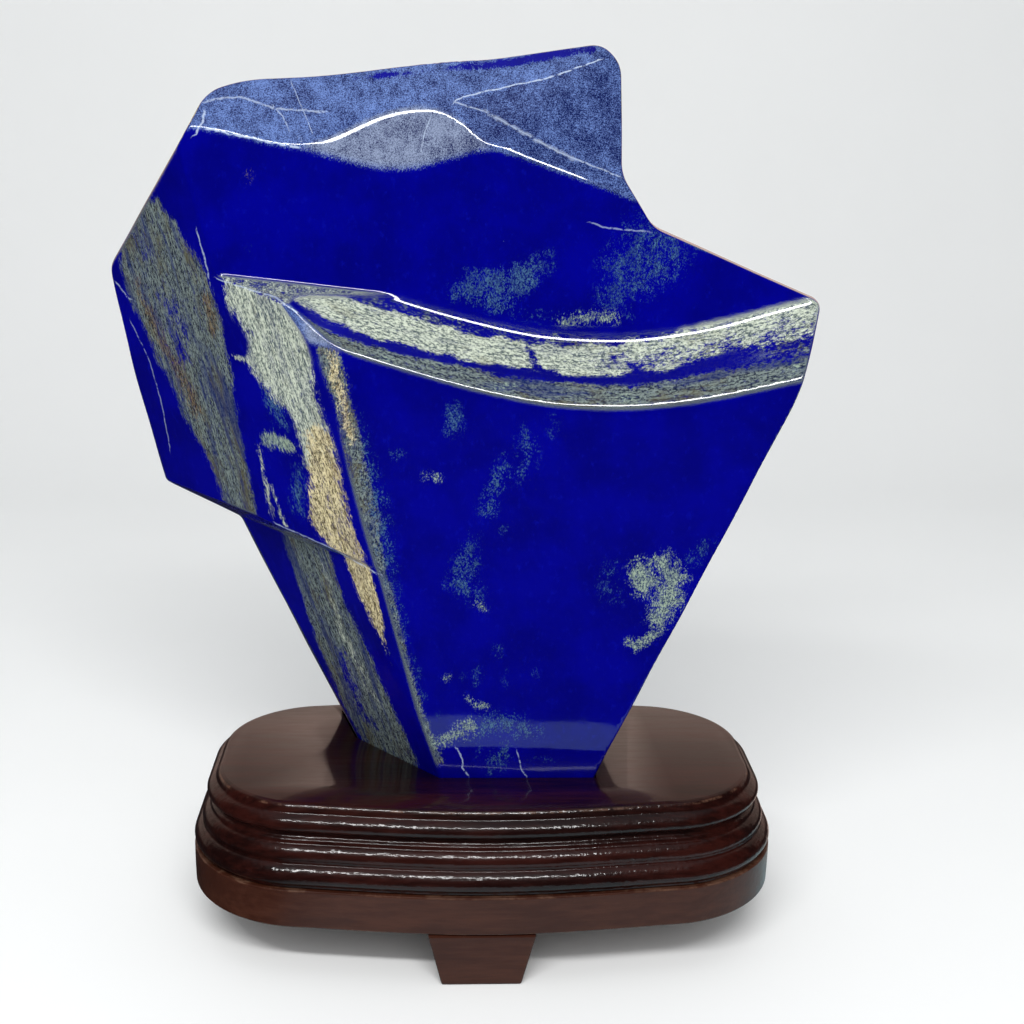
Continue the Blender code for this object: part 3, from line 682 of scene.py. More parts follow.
class StoneMarkings:
    """Works out where each marking lies on the stone's mesh."""

    BAND_X = (-72.0, -38.0, -10.0, 15.0, 42.0, 67.0, 93.0, 122.0)
    BLUE_TOP = (0.81, 0.74, 0.75, 0.75, 0.80, 0.86, 1.02, 1.04)
    CREAM_LOW = (0.39, 0.35, 0.40, 0.45, 0.43, 0.47, 0.58, 0.54)
    BLUE_LOW = (0.20, 0.22, 0.28, 0.29, 0.30, 0.30, 0.35, 0.30)
    BORDER = 0.7

    def share(self, value: np.ndarray, rivals: Iterable[np.ndarray]) -> np.ndarray:
        """How far a surface's field leads its rivals, as a share."""
        return smooth_step(value - np.maximum.reduce(list(rivals)), -self.BORDER, self.BORDER)

    def zones(self, part: dict[str, np.ndarray], in_dish: np.ndarray) -> dict[Zone, np.ndarray]:
        """Which surface each point lies on.

        Args:
            part: Field of every named surface at the points.
            in_dish: Share of each point in the dish below the bevel.

        Returns:
            Share of each zone, from 0 to 1.
        """
        band = np.maximum(part["band"], part["tip"])
        lower = np.maximum.reduce([part["strip"], part["lower"], part["lower_end"]])
        rivals = {name: part[name] for name in ("front", "side", "left", "bevel", "horn", "top", "back")}
        rivals["step"] = np.minimum(part["upper"], band)
        rivals["hollow"] = np.minimum(part["ledge"], lower)
        rivals["rim"] = np.maximum.reduce([part["notch"], part["right"], part["left_end"]])
        lead = {name: self.share(value, [v for n, v in rivals.items() if n != name])
                for name, value in rivals.items()}
        shown = {Zone(name): lead[name] for name in ("front", "side", "left", "horn", "top")}
        shown[Zone.DISH] = lead["bevel"] * in_dish
        shown[Zone.BEVEL] = lead["bevel"] * (1.0 - in_dish)
        on_band = lead["step"] * self.share(part["upper"], [band])
        shown[Zone.UPPER] = lead["step"] * self.share(band, [part["upper"]])
        shown[Zone.TIP] = on_band * self.share(part["tip"], [part["band"]])
        shown[Zone.BAND] = on_band * self.share(part["band"], [part["tip"]])
        under = lead["hollow"] * self.share(part["ledge"], [lower])
        shown[Zone.STRIP] = under * self.share(part["strip"], [part["lower"], part["lower_end"]])
        shown[Zone.LOWER] = under * self.share(part["lower"], [part["strip"], part["lower_end"]])
        shown[Zone.REST] = np.clip(1.0 - sum(shown.values()), 0.0, 1.0)
        return shown

    def band_layers(self, points: np.ndarray) -> dict[Marking, np.ndarray]:
        """Covers of the layers that cross the dished band, from its upper to its lower edge."""
        x, y = points[:, 0], points[:, 1]
        rise = (y + 27.0) / 18.0
        wobble = 0.022 * np.sin(x / 7.0) + 0.018 * np.sin(x / 3.1 + 1.0) + 0.014 * np.sin(x / 1.7)
        top = np.interp(x, self.BAND_X, self.BLUE_TOP) + wobble
        low = np.interp(x, self.BAND_X, self.CREAM_LOW) + 0.8 * wobble
        blue = np.interp(x, self.BAND_X, self.BLUE_LOW) - 0.5 * wobble
        cream = smooth_step(rise, low - 0.05, low + 0.04) * smooth_step(top - rise, -0.05, 0.05)
        seam = smooth_step(x, 20.0, 60.0) * (0.30 + 0.35 * smooth_step(np.abs(rise - 0.60), 0.16, 0.02))
        gap = smooth_step(np.abs(x - 16.5 + 12.0 * (rise - 0.6)), 2.6, 1.2)
        middle, half = 0.5 * (low + blue), 0.5 * (low - blue)
        return {
            Marking.CREAM: 1.12 * cream * (1.0 - 0.75 * seam) * (1.0 - 0.8 * gap),
            Marking.GREY: np.maximum(1.1 * smooth_step(blue - rise, -0.07, 0.05),
                                     0.42 + 0.4 * smooth_step(rise, 0.96, 1.0) * smooth_step(top, 0.9, 0.84)),
            Marking.BLUE: 0.7 * smooth_step(np.abs(rise - middle), half, 0.4 * half) * smooth_step(x, 128.0, 90.0),
            Marking.SAGE: 0.5 * smooth_step(0.5 * blue - np.abs(rise - 0.5 * blue), 0.0, 0.1)
            * smooth_step(np.sin(x / 9.0 + 1.0) + 0.5 * np.sin(x / 3.7), 0.5, 1.2),
        }

    @staticmethod
    def in_horn(points: np.ndarray) -> np.ndarray:
        """Share of each point that lies on the horn, right of its upper line, which is painted darker as shade."""
        line = np.interp(points[:, 0], (-16.8, 1.8, 20.3, 43.6), (360.5, 366.3, 370.3, 378.8))
        return smooth_step(line - points[:, 2], -0.8, 0.8) * smooth_step(points[:, 0], -17.5, -9.0)

    def write(self, mesh: bpy.types.Mesh, points: np.ndarray, shape: StoneShape) -> None:
        """Store every marking's cover on the mesh.

        Args:
            mesh: The stone's mesh.
            points: Its vertices in the stand's frame, in millimetres.
            shape: The stone's shape, which tells the surfaces apart.
        """
        zones = self.zones(shape.parts(points), shape.upland.in_dish(points))
        cover = {marking: np.zeros(len(points)) for marking in Marking}
        for vein in VEINS:
            dusty = 0.85 if vein.marking is Marking.TEAL else 1.0
            cover[vein.marking] = np.maximum(cover[vein.marking], dusty * vein.cover(points) * zones[vein.zone])
        for marking, share in self.band_layers(points).items():
            cover[marking] = np.maximum(cover[marking], share * zones[Zone.BAND])
        for sheet in SHEETS:
            cover[sheet.marking] = np.maximum(cover[sheet.marking], sheet.cover(points) * zones[Zone.REST])
        hazy = zones[Zone.BEVEL] + zones[Zone.HORN] + zones[Zone.DISH]
        cover[Marking.GREY] = np.maximum(cover[Marking.GREY], 0.8 * zones[Zone.TIP])
        cover[Marking.CREAM] = np.maximum(cover[Marking.CREAM], 0.5 * zones[Zone.TIP])
        for marking, share in cover.items():
            put(mesh, marking.value, share)
        put(mesh, "banded", zones[Zone.BAND])
        put(mesh, "upland", np.clip(hazy, 0.0, 1.0))
        put(mesh, "dished", zones[Zone.DISH])
        # Paleness of the upland's grains carries painted light: raised on the dish as a painted reflection of the light
        # overhead, lowered on the horn as painted shade.
        in_horn = self.in_horn(points)
        put(mesh, "pale", 0.46 + 0.16 * zones[Zone.DISH] - 0.20 * in_horn)
        steep = sum(zones[zone] for zone in (Zone.SIDE, Zone.TIP, Zone.LEFT, Zone.STRIP, Zone.LOWER))
        put(mesh, "steep", np.clip(steep, 0.0, 1.0))
        fore = smooth_step(-shape.slope(points)[:, 1], 0.15, 0.3)
        for layer in range(3):
            gap, strength = self.threads(points, layer)
            put(mesh, f"thread_{layer}", gap)
            put(mesh, f"thread_strength_{layer}", strength * fore)

    @staticmethod
    def threads(points: np.ndarray, layer: int) -> tuple[np.ndarray, np.ndarray]:
        """Side distance of the nearest thread of a layer, in half widths, and how strongly it shows."""
        nearest = np.full(len(points), 1000.0)
        scaled = np.full(len(points), 1000.0)
        strength = np.zeros(len(points))
        for thread in THREADS:
            if thread.layer != layer:
                continue
            gap, ends = thread.gaps(points[:, (0, 2)])
            nearer = np.abs(gap) < np.abs(nearest)
            nearest = np.where(nearer, gap, nearest)
            scaled = np.where(nearer, gap / thread.half, scaled)
            strength = np.where(nearer, thread.strength * ends, strength)
        return scaled, strength * smooth_step(np.abs(nearest), 4.5, 3.0)


class Wiring:
    """Short hand for laying shader nodes in one tree."""

    def __init__(self, tree: bpy.types.NodeTree) -> None:
        """Keep the tree that nodes are laid in."""
        self.tree = tree

    def node(self, kind: str, **settings: object) -> bpy.types.Node:
        """A new node with its settings."""
        made = self.tree.nodes.new(kind)
        for name, value in settings.items():
            setattr(made, name, value)
        return made

    def feed(self, socket: bpy.types.NodeSocket, value: object) -> None:
        """Link a socket to another one, or set its plain value."""
        if isinstance(value, bpy.types.NodeSocket):
            self.tree.links.new(value, socket)
        elif isinstance(value, tuple) and len(value) == 3 and socket.type == "RGBA":
            socket.default_value = (*value, 1.0)
        else:
            socket.default_value = value

    def maths(self, operation: str, *values: object, clamp: bool = False) -> bpy.types.NodeSocket:
        """Result of one calculation."""
        made = self.node("ShaderNodeMath", operation=operation, use_clamp=clamp)
        for socket, value in zip(made.inputs, values):
            self.feed(socket, value)
        return made.outputs[0]

    def mix(self, share: object, first: object, second: object, blend: str = "MIX") -> bpy.types.NodeSocket:
        """Two colours mixed by a share."""
        made = self.node("ShaderNodeMix", data_type="RGBA", blend_type=blend)
        self.feed(made.inputs["Factor"], share)
        self.feed(made.inputs[6], first)
        self.feed(made.inputs[7], second)
        return made.outputs[2]

    def step(self, value: object, low: object, high: object, start: object = 0.0, end: object = 1.0) -> bpy.types.NodeSocket:
        """A value turned smoothly from start at low to end at high."""
        made = self.node("ShaderNodeMapRange", interpolation_type="SMOOTHSTEP")
        for name, item in zip(("Value", "From Min", "From Max", "To Min", "To Max"), (value, low, high, start, end)):
            self.feed(made.inputs[name], item)
        return made.outputs[0]

    def noise(self, vector: object, scale: float, detail: float = 2.0, rough: float = 0.5) -> bpy.types.NodeSocket:
        """Cloudy noise, 0 to 1, at a scale in features per metre."""
        made = self.node("ShaderNodeTexNoise")
        self.feed(made.inputs["Vector"], vector)
        made.inputs["Scale"].default_value = scale
        made.inputs["Detail"].default_value = detail
        made.inputs["Roughness"].default_value = rough
        return made.outputs["Fac"]

    def vector(self, *values: object) -> bpy.types.NodeSocket:
        """Three numbers joined into a vector."""
        made = self.node("ShaderNodeCombineXYZ")
        for socket, value in zip(made.inputs, values):
            self.feed(socket, value)
        return made.outputs[0]

    def vectors(self, operation: str, *values: object) -> bpy.types.Node:
        """A calculation with vectors."""
        made = self.node("ShaderNodeVectorMath", operation=operation)
        for socket, value in zip(made.inputs, values):
            self.feed(socket, value)
        return made

    def blend(self, share: object, first: object, second: object) -> bpy.types.NodeSocket:
        """Two vectors mixed by a share."""
        made = self.node("ShaderNodeMix", data_type="VECTOR")
        self.feed(made.inputs["Factor"], share)
        self.feed(made.inputs[4], first)
        self.feed(made.inputs[5], second)
        return made.outputs[1]

    def stored(self, name: str) -> bpy.types.NodeSocket:
        """A number stored on the mesh's vertices."""
        return self.node("ShaderNodeAttribute", attribute_name=name).outputs["Fac"]

    def group(self, tree: bpy.types.NodeTree, **values: object) -> bpy.types.Node:
        """A shared effect placed in this tree with its inputs fed."""
        made = self.node("ShaderNodeGroup")
        made.node_tree = tree
        for name, value in values.items():
            self.feed(made.inputs[name.replace("_", " ")], value)
        return made


def new_group(name: str, inputs: dict[str, str], outputs: dict[str, str]) -> tuple[Wiring, bpy.types.Node, bpy.types.Node]:
    """An empty node group with named inputs and outputs.

    Args:
        name: Name of the effect.
        inputs: Socket type of each named input.
        outputs: Socket type of each named output.

    Returns:
        Its wiring, the node with its inputs and the node with its outputs.
    """
    tree = bpy.data.node_groups.new(name, "ShaderNodeTree")
    for label, kind in inputs.items():
        tree.interface.new_socket(label, in_out="INPUT", socket_type=kind)
    for label, kind in outputs.items():
        tree.interface.new_socket(label, in_out="OUTPUT", socket_type=kind)
    wiring = Wiring(tree)
    return wiring, wiring.node("NodeGroupInput"), wiring.node("NodeGroupOutput")


def flow_group() -> bpy.types.NodeTree:
    """Effect that lays the grain's own space along the layers: level on the band, steep at the left."""
    wiring, given, result = new_group(
        "layered flow",
        {"Vector": "NodeSocketVector", "Banded": "NodeSocketFloat", "Steep": "NodeSocketFloat"},
        {"Flow": "NodeSocketVector", "Drawn": "NodeSocketVector"},
    )
    place = given.outputs["Vector"]
    parts = wiring.node("ShaderNodeSeparateXYZ")
    wiring.feed(parts.inputs[0], place)
    x, y, z = parts.outputs
    across = wiring.maths("ADD", wiring.maths("MULTIPLY", x, 0.944), wiring.maths("MULTIPLY", z, 0.33))
    along = wiring.maths("SUBTRACT", wiring.maths("MULTIPLY", x, 0.33), wiring.maths("MULTIPLY", z, 0.944))
    for name, stretch in (("Flow", 0.34), ("Drawn", 0.11)):
        steep = wiring.vector(across, y, wiring.maths("MULTIPLY", along, stretch))
        level = wiring.vector(wiring.maths("MULTIPLY", x, stretch), wiring.maths("MULTIPLY", y, 1.3), 0.0)
        plain = wiring.vector(x, y, wiring.maths("MULTIPLY", z, 0.35 + stretch))
        mixed = wiring.blend(given.outputs["Steep"], plain, steep)
        wiring.feed(result.inputs[name], wiring.blend(given.outputs["Banded"], mixed, level))
    return wiring.tree


def speckle_group() -> bpy.types.NodeTree:
    """Effect that breaks a cover into grains: dense where it is full, sparse where it fades."""
    wiring, given, result = new_group(
        "speckled border",
        {"Cover": "NodeSocketFloat", "Spread": "NodeSocketFloat"},
        {"Mask": "NodeSocketFloat"},
    )
    excess = wiring.maths("SUBTRACT", given.outputs["Cover"], given.outputs["Spread"])
    present = wiring.step(given.outputs["Cover"], 0.03, 0.2)
    wiring.feed(result.inputs["Mask"], wiring.maths("MULTIPLY", present, wiring.step(excess, -0.22, 0.26)))
    return wiring.tree


def grain_group() -> bpy.types.NodeTree:
    """Effect of mineral grains: round ones, drawn-out ones and scattered dark ones."""
    wiring, given, result = new_group(
        "mineral grain",
        {"Flow": "NodeSocketVector", "Drawn": "NodeSocketVector"},
        {name: "NodeSocketFloat" for name in ("Grain", "Streak", "Pepper", "Tint", "Wash", "Spread")},
    )
    flow = given.outputs["Flow"]
    fine = wiring.noise(flow, 1300.0, 3.0, 0.8)
    coarse = wiring.noise(flow, 260.0, 3.0, 0.6)
    both = wiring.maths("ADD", wiring.maths("MULTIPLY", fine, 0.6), wiring.maths("MULTIPLY", coarse, 0.4))
    wiring.feed(result.inputs["Spread"], wiring.step(both, 0.34, 0.66, 0.10, 1.0))
    wiring.feed(result.inputs["Grain"], wiring.step(wiring.noise(flow, 1700.0, 3.0, 0.85), 0.34, 0.66))
    wiring.feed(result.inputs["Streak"], wiring.step(wiring.noise(given.outputs["Drawn"], 900.0, 4.0, 0.75), 0.36, 0.64))
    wiring.feed(result.inputs["Pepper"], wiring.step(wiring.noise(flow, 820.0, 3.0, 0.75), 0.56, 0.66))
    blots = wiring.noise(flow, 75.0, 5.0, 0.75)
    wiring.feed(result.inputs["Tint"], wiring.step(blots, 0.50, 0.66))
    wiring.feed(result.inputs["Wash"], wiring.step(wiring.noise(given.outputs["Drawn"], 170.0, 4.0, 0.7), 0.52, 0.36))
    return wiring.tree


def thread_group() -> bpy.types.NodeTree:
    """Effect that draws a thin line where a stored side distance passes through zero."""
    wiring, given, result = new_group(
        "thin line",
        {"Gap": "NodeSocketFloat", "Strength": "NodeSocketFloat", "Wander": "NodeSocketFloat", "Whole": "NodeSocketFloat"},
        {"Mask": "NodeSocketFloat"},
    )
    gap = wiring.maths("ABSOLUTE", wiring.maths("ADD", given.outputs["Gap"], given.outputs["Wander"]))
    line = wiring.maths("MULTIPLY", wiring.step(gap, 1.6, 0.5), given.outputs["Strength"])
    wiring.feed(result.inputs["Mask"], wiring.maths("MULTIPLY", line, given.outputs["Whole"]))
    return wiring.tree


@dataclass(frozen=True)
class Tone:
    """Dark and light grains of one marking, how much the streaks show in it, and its stains."""

    dark: Colour
    light: Colour
    streak: float = 0.5
    tint: Colour = (0.0, 0.0, 0.0)
    stain: float = 0.0
    pepper: float = 0.5
    wash: float = 0.3


def rgb(red: int, green: int, blue: int) -> Colour:
    """A colour as seen on a screen, 0 to 255, turned into light values."""
    shares = (channel / 255.0 for channel in (red, green, blue))
    return tuple(share / 12.92 if share < 0.04045 else ((share + 0.055) / 1.055) ** 2.4 for share in shares)


@dataclass(frozen=True)
class LapisFinish:
    """Colours and polish of the stone."""

    deep: Colour = rgb(1, 1, 124)
    night: Colour = rgb(1, 1, 104)
    bright: Colour = rgb(6, 12, 146)
    haze_dark: Colour = rgb(8, 15, 68)
    # The bevel's and the dish's pale colours are partly the grains' own colour and partly a painted reflection of the
    # light overhead; the dish's greyer colour holds more of it.
    bevel_blue_and_painted_reflection: Colour = rgb(102, 127, 186)
    dish_grey_and_painted_reflection: Colour = rgb(130, 142, 168)
    # Colour of the thin pale lines: veins, and painted highlights along ridges.
    thread: Colour = rgb(176, 190, 214)
    polish: float = 0.03

    def tones(self) -> dict[Marking, Tone]:
        """Grains of each marking, in the order in which they lie over each other."""
        return {
            Marking.GREY: Tone(rgb(20, 27, 50), rgb(118, 130, 126), 0.34, rgb(84, 78, 50), 0.65, 0.5, 0.7),
            Marking.BROWN: Tone(rgb(30, 28, 34), rgb(124, 108, 80), 0.3, rgb(50, 50, 78), 0.35, 0.45, 0.4),
            Marking.TEAL: Tone(rgb(4, 10, 86), rgb(66, 100, 132), 0.15, rgb(16, 32, 110), 0.5, 0.5, 0.3),
            Marking.SAGE: Tone(rgb(34, 50, 86), rgb(150, 168, 148), 0.2, rgb(104, 116, 92), 0.35, 0.5, 0.3),
            Marking.CREAM: Tone(rgb(74, 86, 88), rgb(196, 204, 186), 0.34, rgb(104, 104, 82), 0.45, 0.3, 0.25),
            Marking.GOLD: Tone(rgb(74, 66, 48), rgb(216, 204, 162), 0.34, rgb(128, 112, 78), 0.5, 0.3, 0.15),
        }

    def layers(self, wiring: Wiring, blue: bpy.types.NodeSocket, grain: bpy.types.Node,
               masks: dict[Marking, bpy.types.NodeSocket]) -> bpy.types.NodeSocket:
        """Lay the markings over the blue one after another.

        Args:
            wiring: The material's nodes.
            blue: Colour of the plain stone.
            grain: The placed grain effect.
            masks: Where each marking shows.

        Returns:
            The colour with all markings.
        """
        colour = blue
        dots = grain.outputs["Pepper"]
        for marking, tone in self.tones().items():
            mixed = wiring.maths("ADD", wiring.maths("MULTIPLY", grain.outputs["Grain"], 1.0 - tone.streak),
                                 wiring.maths("MULTIPLY", grain.outputs["Streak"], tone.streak))
            layer = wiring.mix(wiring.step(mixed, 0.18, 0.80), tone.dark, tone.light)
            stained = wiring.maths("MULTIPLY", grain.outputs["Tint"], tone.stain)
            layer = wiring.mix(stained, layer, tone.tint)
            washed = wiring.maths("MULTIPLY", grain.outputs["Wash"], tone.wash)
            layer = wiring.mix(washed, layer, rgb(20, 34, 92))
            layer = wiring.mix(wiring.maths("MULTIPLY", dots, tone.pepper), layer, self.night)
            colour = wiring.mix(masks[marking], colour, layer)
        return colour

    def haze(self, wiring: Wiring, place: bpy.types.NodeSocket, drawn: bpy.types.NodeSocket) -> bpy.types.NodeSocket:
        """Colour of the dense pale grains on the bevel, the dish and the horn, with a painted reflection of the light
        overhead in it.
        """
        fine = wiring.step(wiring.noise(place, 1900.0, 3.0, 0.85), 0.32, 0.68, -0.6, 0.6)
        cloud = wiring.step(wiring.noise(place, 90.0, 4.0, 0.7), 0.3, 0.7, -0.2, 0.2)
        band = wiring.step(wiring.noise(drawn, 260.0, 3.0, 0.6), 0.3, 0.7, -0.14, 0.14)
        share = wiring.maths("ADD", wiring.stored("pale"), wiring.maths("ADD", fine, wiring.maths("ADD", cloud, band)))
        # The dish is greyer and paler: painted reflection of the light overhead.
        light = wiring.mix(wiring.stored("dished"), self.bevel_blue_and_painted_reflection, self.dish_grey_and_painted_reflection)
        return wiring.mix(wiring.maths("MULTIPLY", share, 1.0, clamp=True), self.haze_dark, light)

    @staticmethod
    def threads(wiring: Wiring, place: bpy.types.NodeSocket) -> bpy.types.NodeSocket:
        """Mask of the thin pale lines, which wander a little and break off here and there; some are veins, some painted
        highlights along ridges.
        """
        line_tree = thread_group()
        wander = wiring.step(wiring.noise(place, 260.0, 3.0, 0.6), 0.2, 0.8, -1.1, 1.1)
        whole = wiring.step(wiring.noise(place, 420.0, 3.0, 0.7), 0.36, 0.5)
        mask: object = 0.0
        for layer in range(3):
            line = wiring.group(line_tree, Gap=wiring.stored(f"thread_{layer}"), Wander=wander, Whole=whole,
                                Strength=wiring.stored(f"thread_strength_{layer}"))
            mask = wiring.maths("MAXIMUM", mask, line.outputs["Mask"])
        return mask

    def material(self) -> bpy.types.Material:
        """Build the stone's material, which reads the markings stored on the mesh."""
        made = bpy.data.materials.new("polished_lapis")
        made.use_nodes = True
        wiring = Wiring(made.node_tree)
        surface = made.node_tree.nodes["Principled BSDF"]
        place = wiring.node("ShaderNodeTexCoord").outputs["Object"]
        flow = wiring.group(flow_group(), Vector=place, Banded=wiring.stored("banded"), Steep=wiring.stored("steep"))
        grain = wiring.group(grain_group(), Flow=flow.outputs["Flow"], Drawn=flow.outputs["Drawn"])
        clouds = wiring.noise(place, 34.0, 4.0, 0.6)
        blue = wiring.mix(wiring.step(clouds, 0.35, 0.65), self.night, self.deep)
        flecks = wiring.step(wiring.noise(flow.outputs["Flow"], 380.0, 4.0, 0.75), 0.54, 0.76, 0.0, 0.6)
        blue = wiring.mix(flecks, blue, self.bright)
        speckle = speckle_group()
        masks = {marking: wiring.group(speckle, Cover=wiring.stored(marking.value),
                                       Spread=grain.outputs["Spread"]).outputs["Mask"] for marking in Marking}
        colour = self.layers(wiring, blue, grain, masks)
        edge = wiring.maths("MULTIPLY", wiring.maths("SUBTRACT", grain.outputs["Grain"], 0.5), 0.5)
        high = wiring.step(wiring.maths("ADD", wiring.stored("upland"), edge), 0.35, 0.65)
        # The upland takes its pale grains together with the painted reflection of the overhead light.
        colour = wiring.mix(high, colour, self.haze(wiring, place, flow.outputs["Drawn"]))
        colour = wiring.mix(masks[Marking.BLUE], colour, blue)
        specks = wiring.step(wiring.noise(place, 340.0, 1.0, 0.4), 0.845, 0.875, 0.0, 0.5)
        colour = wiring.mix(specks, colour, rgb(150, 170, 205))
        # Thin pale lines: veins, and painted highlights along ridges.
        lines = self.threads(wiring, place)
        colour = wiring.mix(lines, colour, self.thread)
        wiring.feed(surface.inputs["Base Color"], colour)
        dull = wiring.maths("ADD", wiring.step(grain.outputs["Grain"], 0.0, 1.0, self.polish, self.polish + 0.04),
                            wiring.maths("MULTIPLY", lines, 0.15))
        wiring.feed(surface.inputs["Roughness"], dull)
        bump = wiring.node("ShaderNodeBump")
        bump.inputs["Strength"].default_value = 0.12
        bump.inputs["Distance"].default_value = 0.0002
        wiring.feed(bump.inputs["Height"], wiring.maths("ADD", wiring.noise(place, 150.0, 2.0), lines))
        wiring.feed(surface.inputs["Normal"], bump.outputs["Normal"])
        return made


@dataclass(frozen=True)
class LacquerFinish:
    """Dark red-brown wood under lacquer, rubbed pale along its lips; on the top board's upper edge the pale dashes also
    make a painted highlight.
    """

    name: str = "glossy_lacquer"
    dark: Colour = rgb(20, 4, 3)
    light: Colour = rgb(44, 13, 8)
    # Pale colour of rubbed lips; on the top board's upper edge it also serves as a painted highlight.
    wear_and_painted_highlight: Colour = rgb(120, 88, 70)
    gloss: float = 0.1
    ripple: float = 0.4
    coat: float = 0.64
    lips: tuple[float, ...] = (65.0, 74.9)

    def wear_and_painted_highlight_lips(self, wiring: Wiring, height: bpy.types.NodeSocket, grain: bpy.types.NodeSocket,
                  place: bpy.types.NodeSocket) -> bpy.types.NodeSocket:
        """Mask of the rubbed lips, broken up by the grain; on the top board's upper edge it also makes a painted
        highlight.
        """
        mask: object = 0.0
        for lip in self.lips:
            gap = wiring.maths("ABSOLUTE", wiring.maths("SUBTRACT", height, lip * MM))
            mask = wiring.maths("MAXIMUM", mask, wiring.step(gap, 0.0006, 0.0002))
        broken = wiring.step(wiring.noise(place, 90.0, 4.0, 0.75), 0.46, 0.60)
        return wiring.maths("MULTIPLY", mask, wiring.maths("MULTIPLY", broken, wiring.step(grain, 0.3, 0.6, 0.1, 0.45)))

    def material(self) -> bpy.types.Material:
        """Build the lacquered wood material."""
        made = bpy.data.materials.new(self.name)
        made.use_nodes = True
        wiring = Wiring(made.node_tree)
        surface = made.node_tree.nodes["Principled BSDF"]
        place = wiring.node("ShaderNodeTexCoord").outputs["Object"]
        parts = wiring.node("ShaderNodeSeparateXYZ")
        wiring.feed(parts.inputs[0], place)
        stretch = wiring.node("ShaderNodeMapping")
        wiring.feed(stretch.inputs["Vector"], place)
        stretch.inputs["Scale"].default_value = (0.10, 1.0, 1.0)
        grain = wiring.noise(stretch.outputs["Vector"], 420.0, 4.0, 0.65)
        broad = wiring.noise(stretch.outputs["Vector"], 60.0, 3.0, 0.6)
        share = wiring.maths("ADD", wiring.maths("MULTIPLY", grain, 0.45), wiring.maths("MULTIPLY", broad, 0.55))
        colour = wiring.mix(wiring.step(share, 0.38, 0.64), self.dark, self.light)
        # Rubbed lips: wear, and on the top board's upper edge partly a painted highlight.
        wear_and_painted_highlight = self.wear_and_painted_highlight_lips(wiring, parts.outputs["Z"], grain, place)
        wiring.feed(surface.inputs["Base Color"], wiring.mix(wear_and_painted_highlight, colour, self.wear_and_painted_highlight))
        wiring.feed(surface.inputs["Roughness"], wiring.step(grain, 0.3, 0.8, 0.30, 0.42))
        wiring.feed(surface.inputs["Coat Weight"], wiring.maths("SUBTRACT", self.coat, wiring.maths("MULTIPLY", wear_and_painted_highlight, 0.5)))
        surface.inputs["Coat Roughness"].default_value = self.gloss
        surface.inputs["Specular IOR Level"].default_value = 0.12
        bump = wiring.node("ShaderNodeBump")
        bump.inputs["Strength"].default_value = self.ripple
        bump.inputs["Distance"].default_value = 0.0005
        swell = wiring.maths("ADD", wiring.noise(place, 380.0, 2.0, 0.5),
                             wiring.maths("MULTIPLY", wiring.noise(stretch.outputs["Vector"], 900.0, 2.0, 0.5), 0.35))
        calm = wiring.step(parts.outputs["Z"], 0.0759, 0.0753, 0.08, 1.0)
        wiring.feed(bump.inputs["Height"], wiring.maths("MULTIPLY", swell, calm))
        wiring.feed(surface.inputs["Normal"], bump.outputs["Normal"])
        wiring.feed(surface.inputs["Coat Normal"], bump.outputs["Normal"])
        return made


@dataclass(frozen=True)
class Outline:
    """The stand's plan: an oblong with large round corners and long sides that swell a little."""

    half_length: float = 130.0
    half_depth: float = 59.4
    radius: float = 47.4
    bow: float = 10.1
    arc: int = 36
    side: int = 42

    def ring(self) -> np.ndarray:
        """Points of the outline, anticlockwise, in millimetres."""
        centre_x, centre_y = self.half_length - self.radius, self.half_depth - self.radius
        angles = np.linspace(0.0, math.pi / 2.0, self.arc)
        corner = np.stack([centre_x + self.radius * np.cos(angles), centre_y + self.radius * np.sin(angles)], 1)
        along = centre_x * (1.0 - 2.0 * np.arange(1, self.side) / self.side)
        side = np.stack([along, np.full(len(along), self.half_depth)], 1)
        half = np.concatenate([corner, side, corner[::-1] * (-1.0, 1.0)])
        ring = np.concatenate([half, -half])
        swell = 0.5 * self.bow * (1.0 + np.cos(math.pi * ring[:, 0] / self.half_length))
        ring[:, 1] += swell * ring[:, 1] / self.half_depth
        return ring

    def inset(self, distance: float) -> np.ndarray:
        """The outline moved inwards, square to its own line."""
        ring = self.ring()
        along = np.roll(ring, -1, axis=0) - np.roll(ring, 1, axis=0)
        along /= np.linalg.norm(along, axis=1, keepdims=True)
        return ring + distance * np.stack([-along[:, 1], along[:, 0]], 1)


@dataclass(frozen=True)
class Board:
    """A board of the stand whose edge follows a profile of insets and heights, bottom to top."""

    node: str
    profile: tuple[tuple[float, float], ...]
    roundings: int = 2

    def eased(self) -> np.ndarray:
        """The profile with its bends cut to short chamfers again and again."""
        line = np.array(self.profile)
        for _ in range(self.roundings):
            start, end = line[:-1], line[1:]
            cut = np.stack([0.75 * start + 0.25 * end, 0.25 * start + 0.75 * end], 1).reshape(-1, 2)
            line = np.concatenate([line[:1], cut, line[-1:]])
        return line

    def build(self, shift: float) -> bpy.types.Object:
        """Make the board.

        Args:
            shift: How far the stand's frame is moved along x, in millimetres.

        Returns:
            The new object, smooth shaded with its bends kept crisp.
        """
        outline = Outline()
        bm = bmesh.new()
        rings = []
        for inset, height in self.eased():
            rings.append([bm.verts.new(((x + shift) * MM, y * MM, height * MM)) for x, y in outline.inset(inset)])
        count = len(rings[0])
        for low, high in zip(rings, rings[1:]):
            for i in range(count):
                bm.faces.new((low[i], low[(i + 1) % count], high[(i + 1) % count], high[i]))
        bm.faces.new(rings[0][::-1])
        bm.faces.new(rings[-1])
        mesh = bpy.data.meshes.new(self.node)
        bm.to_mesh(mesh)
        bm.free()
        mesh.shade_smooth()
        mesh.set_sharp_from_angle(angle=math.radians(22.0))
        obj = bpy.data.objects.new(f"eased_{self.node}", mesh)
        bpy.context.scene.collection.objects.link(obj)
        return obj


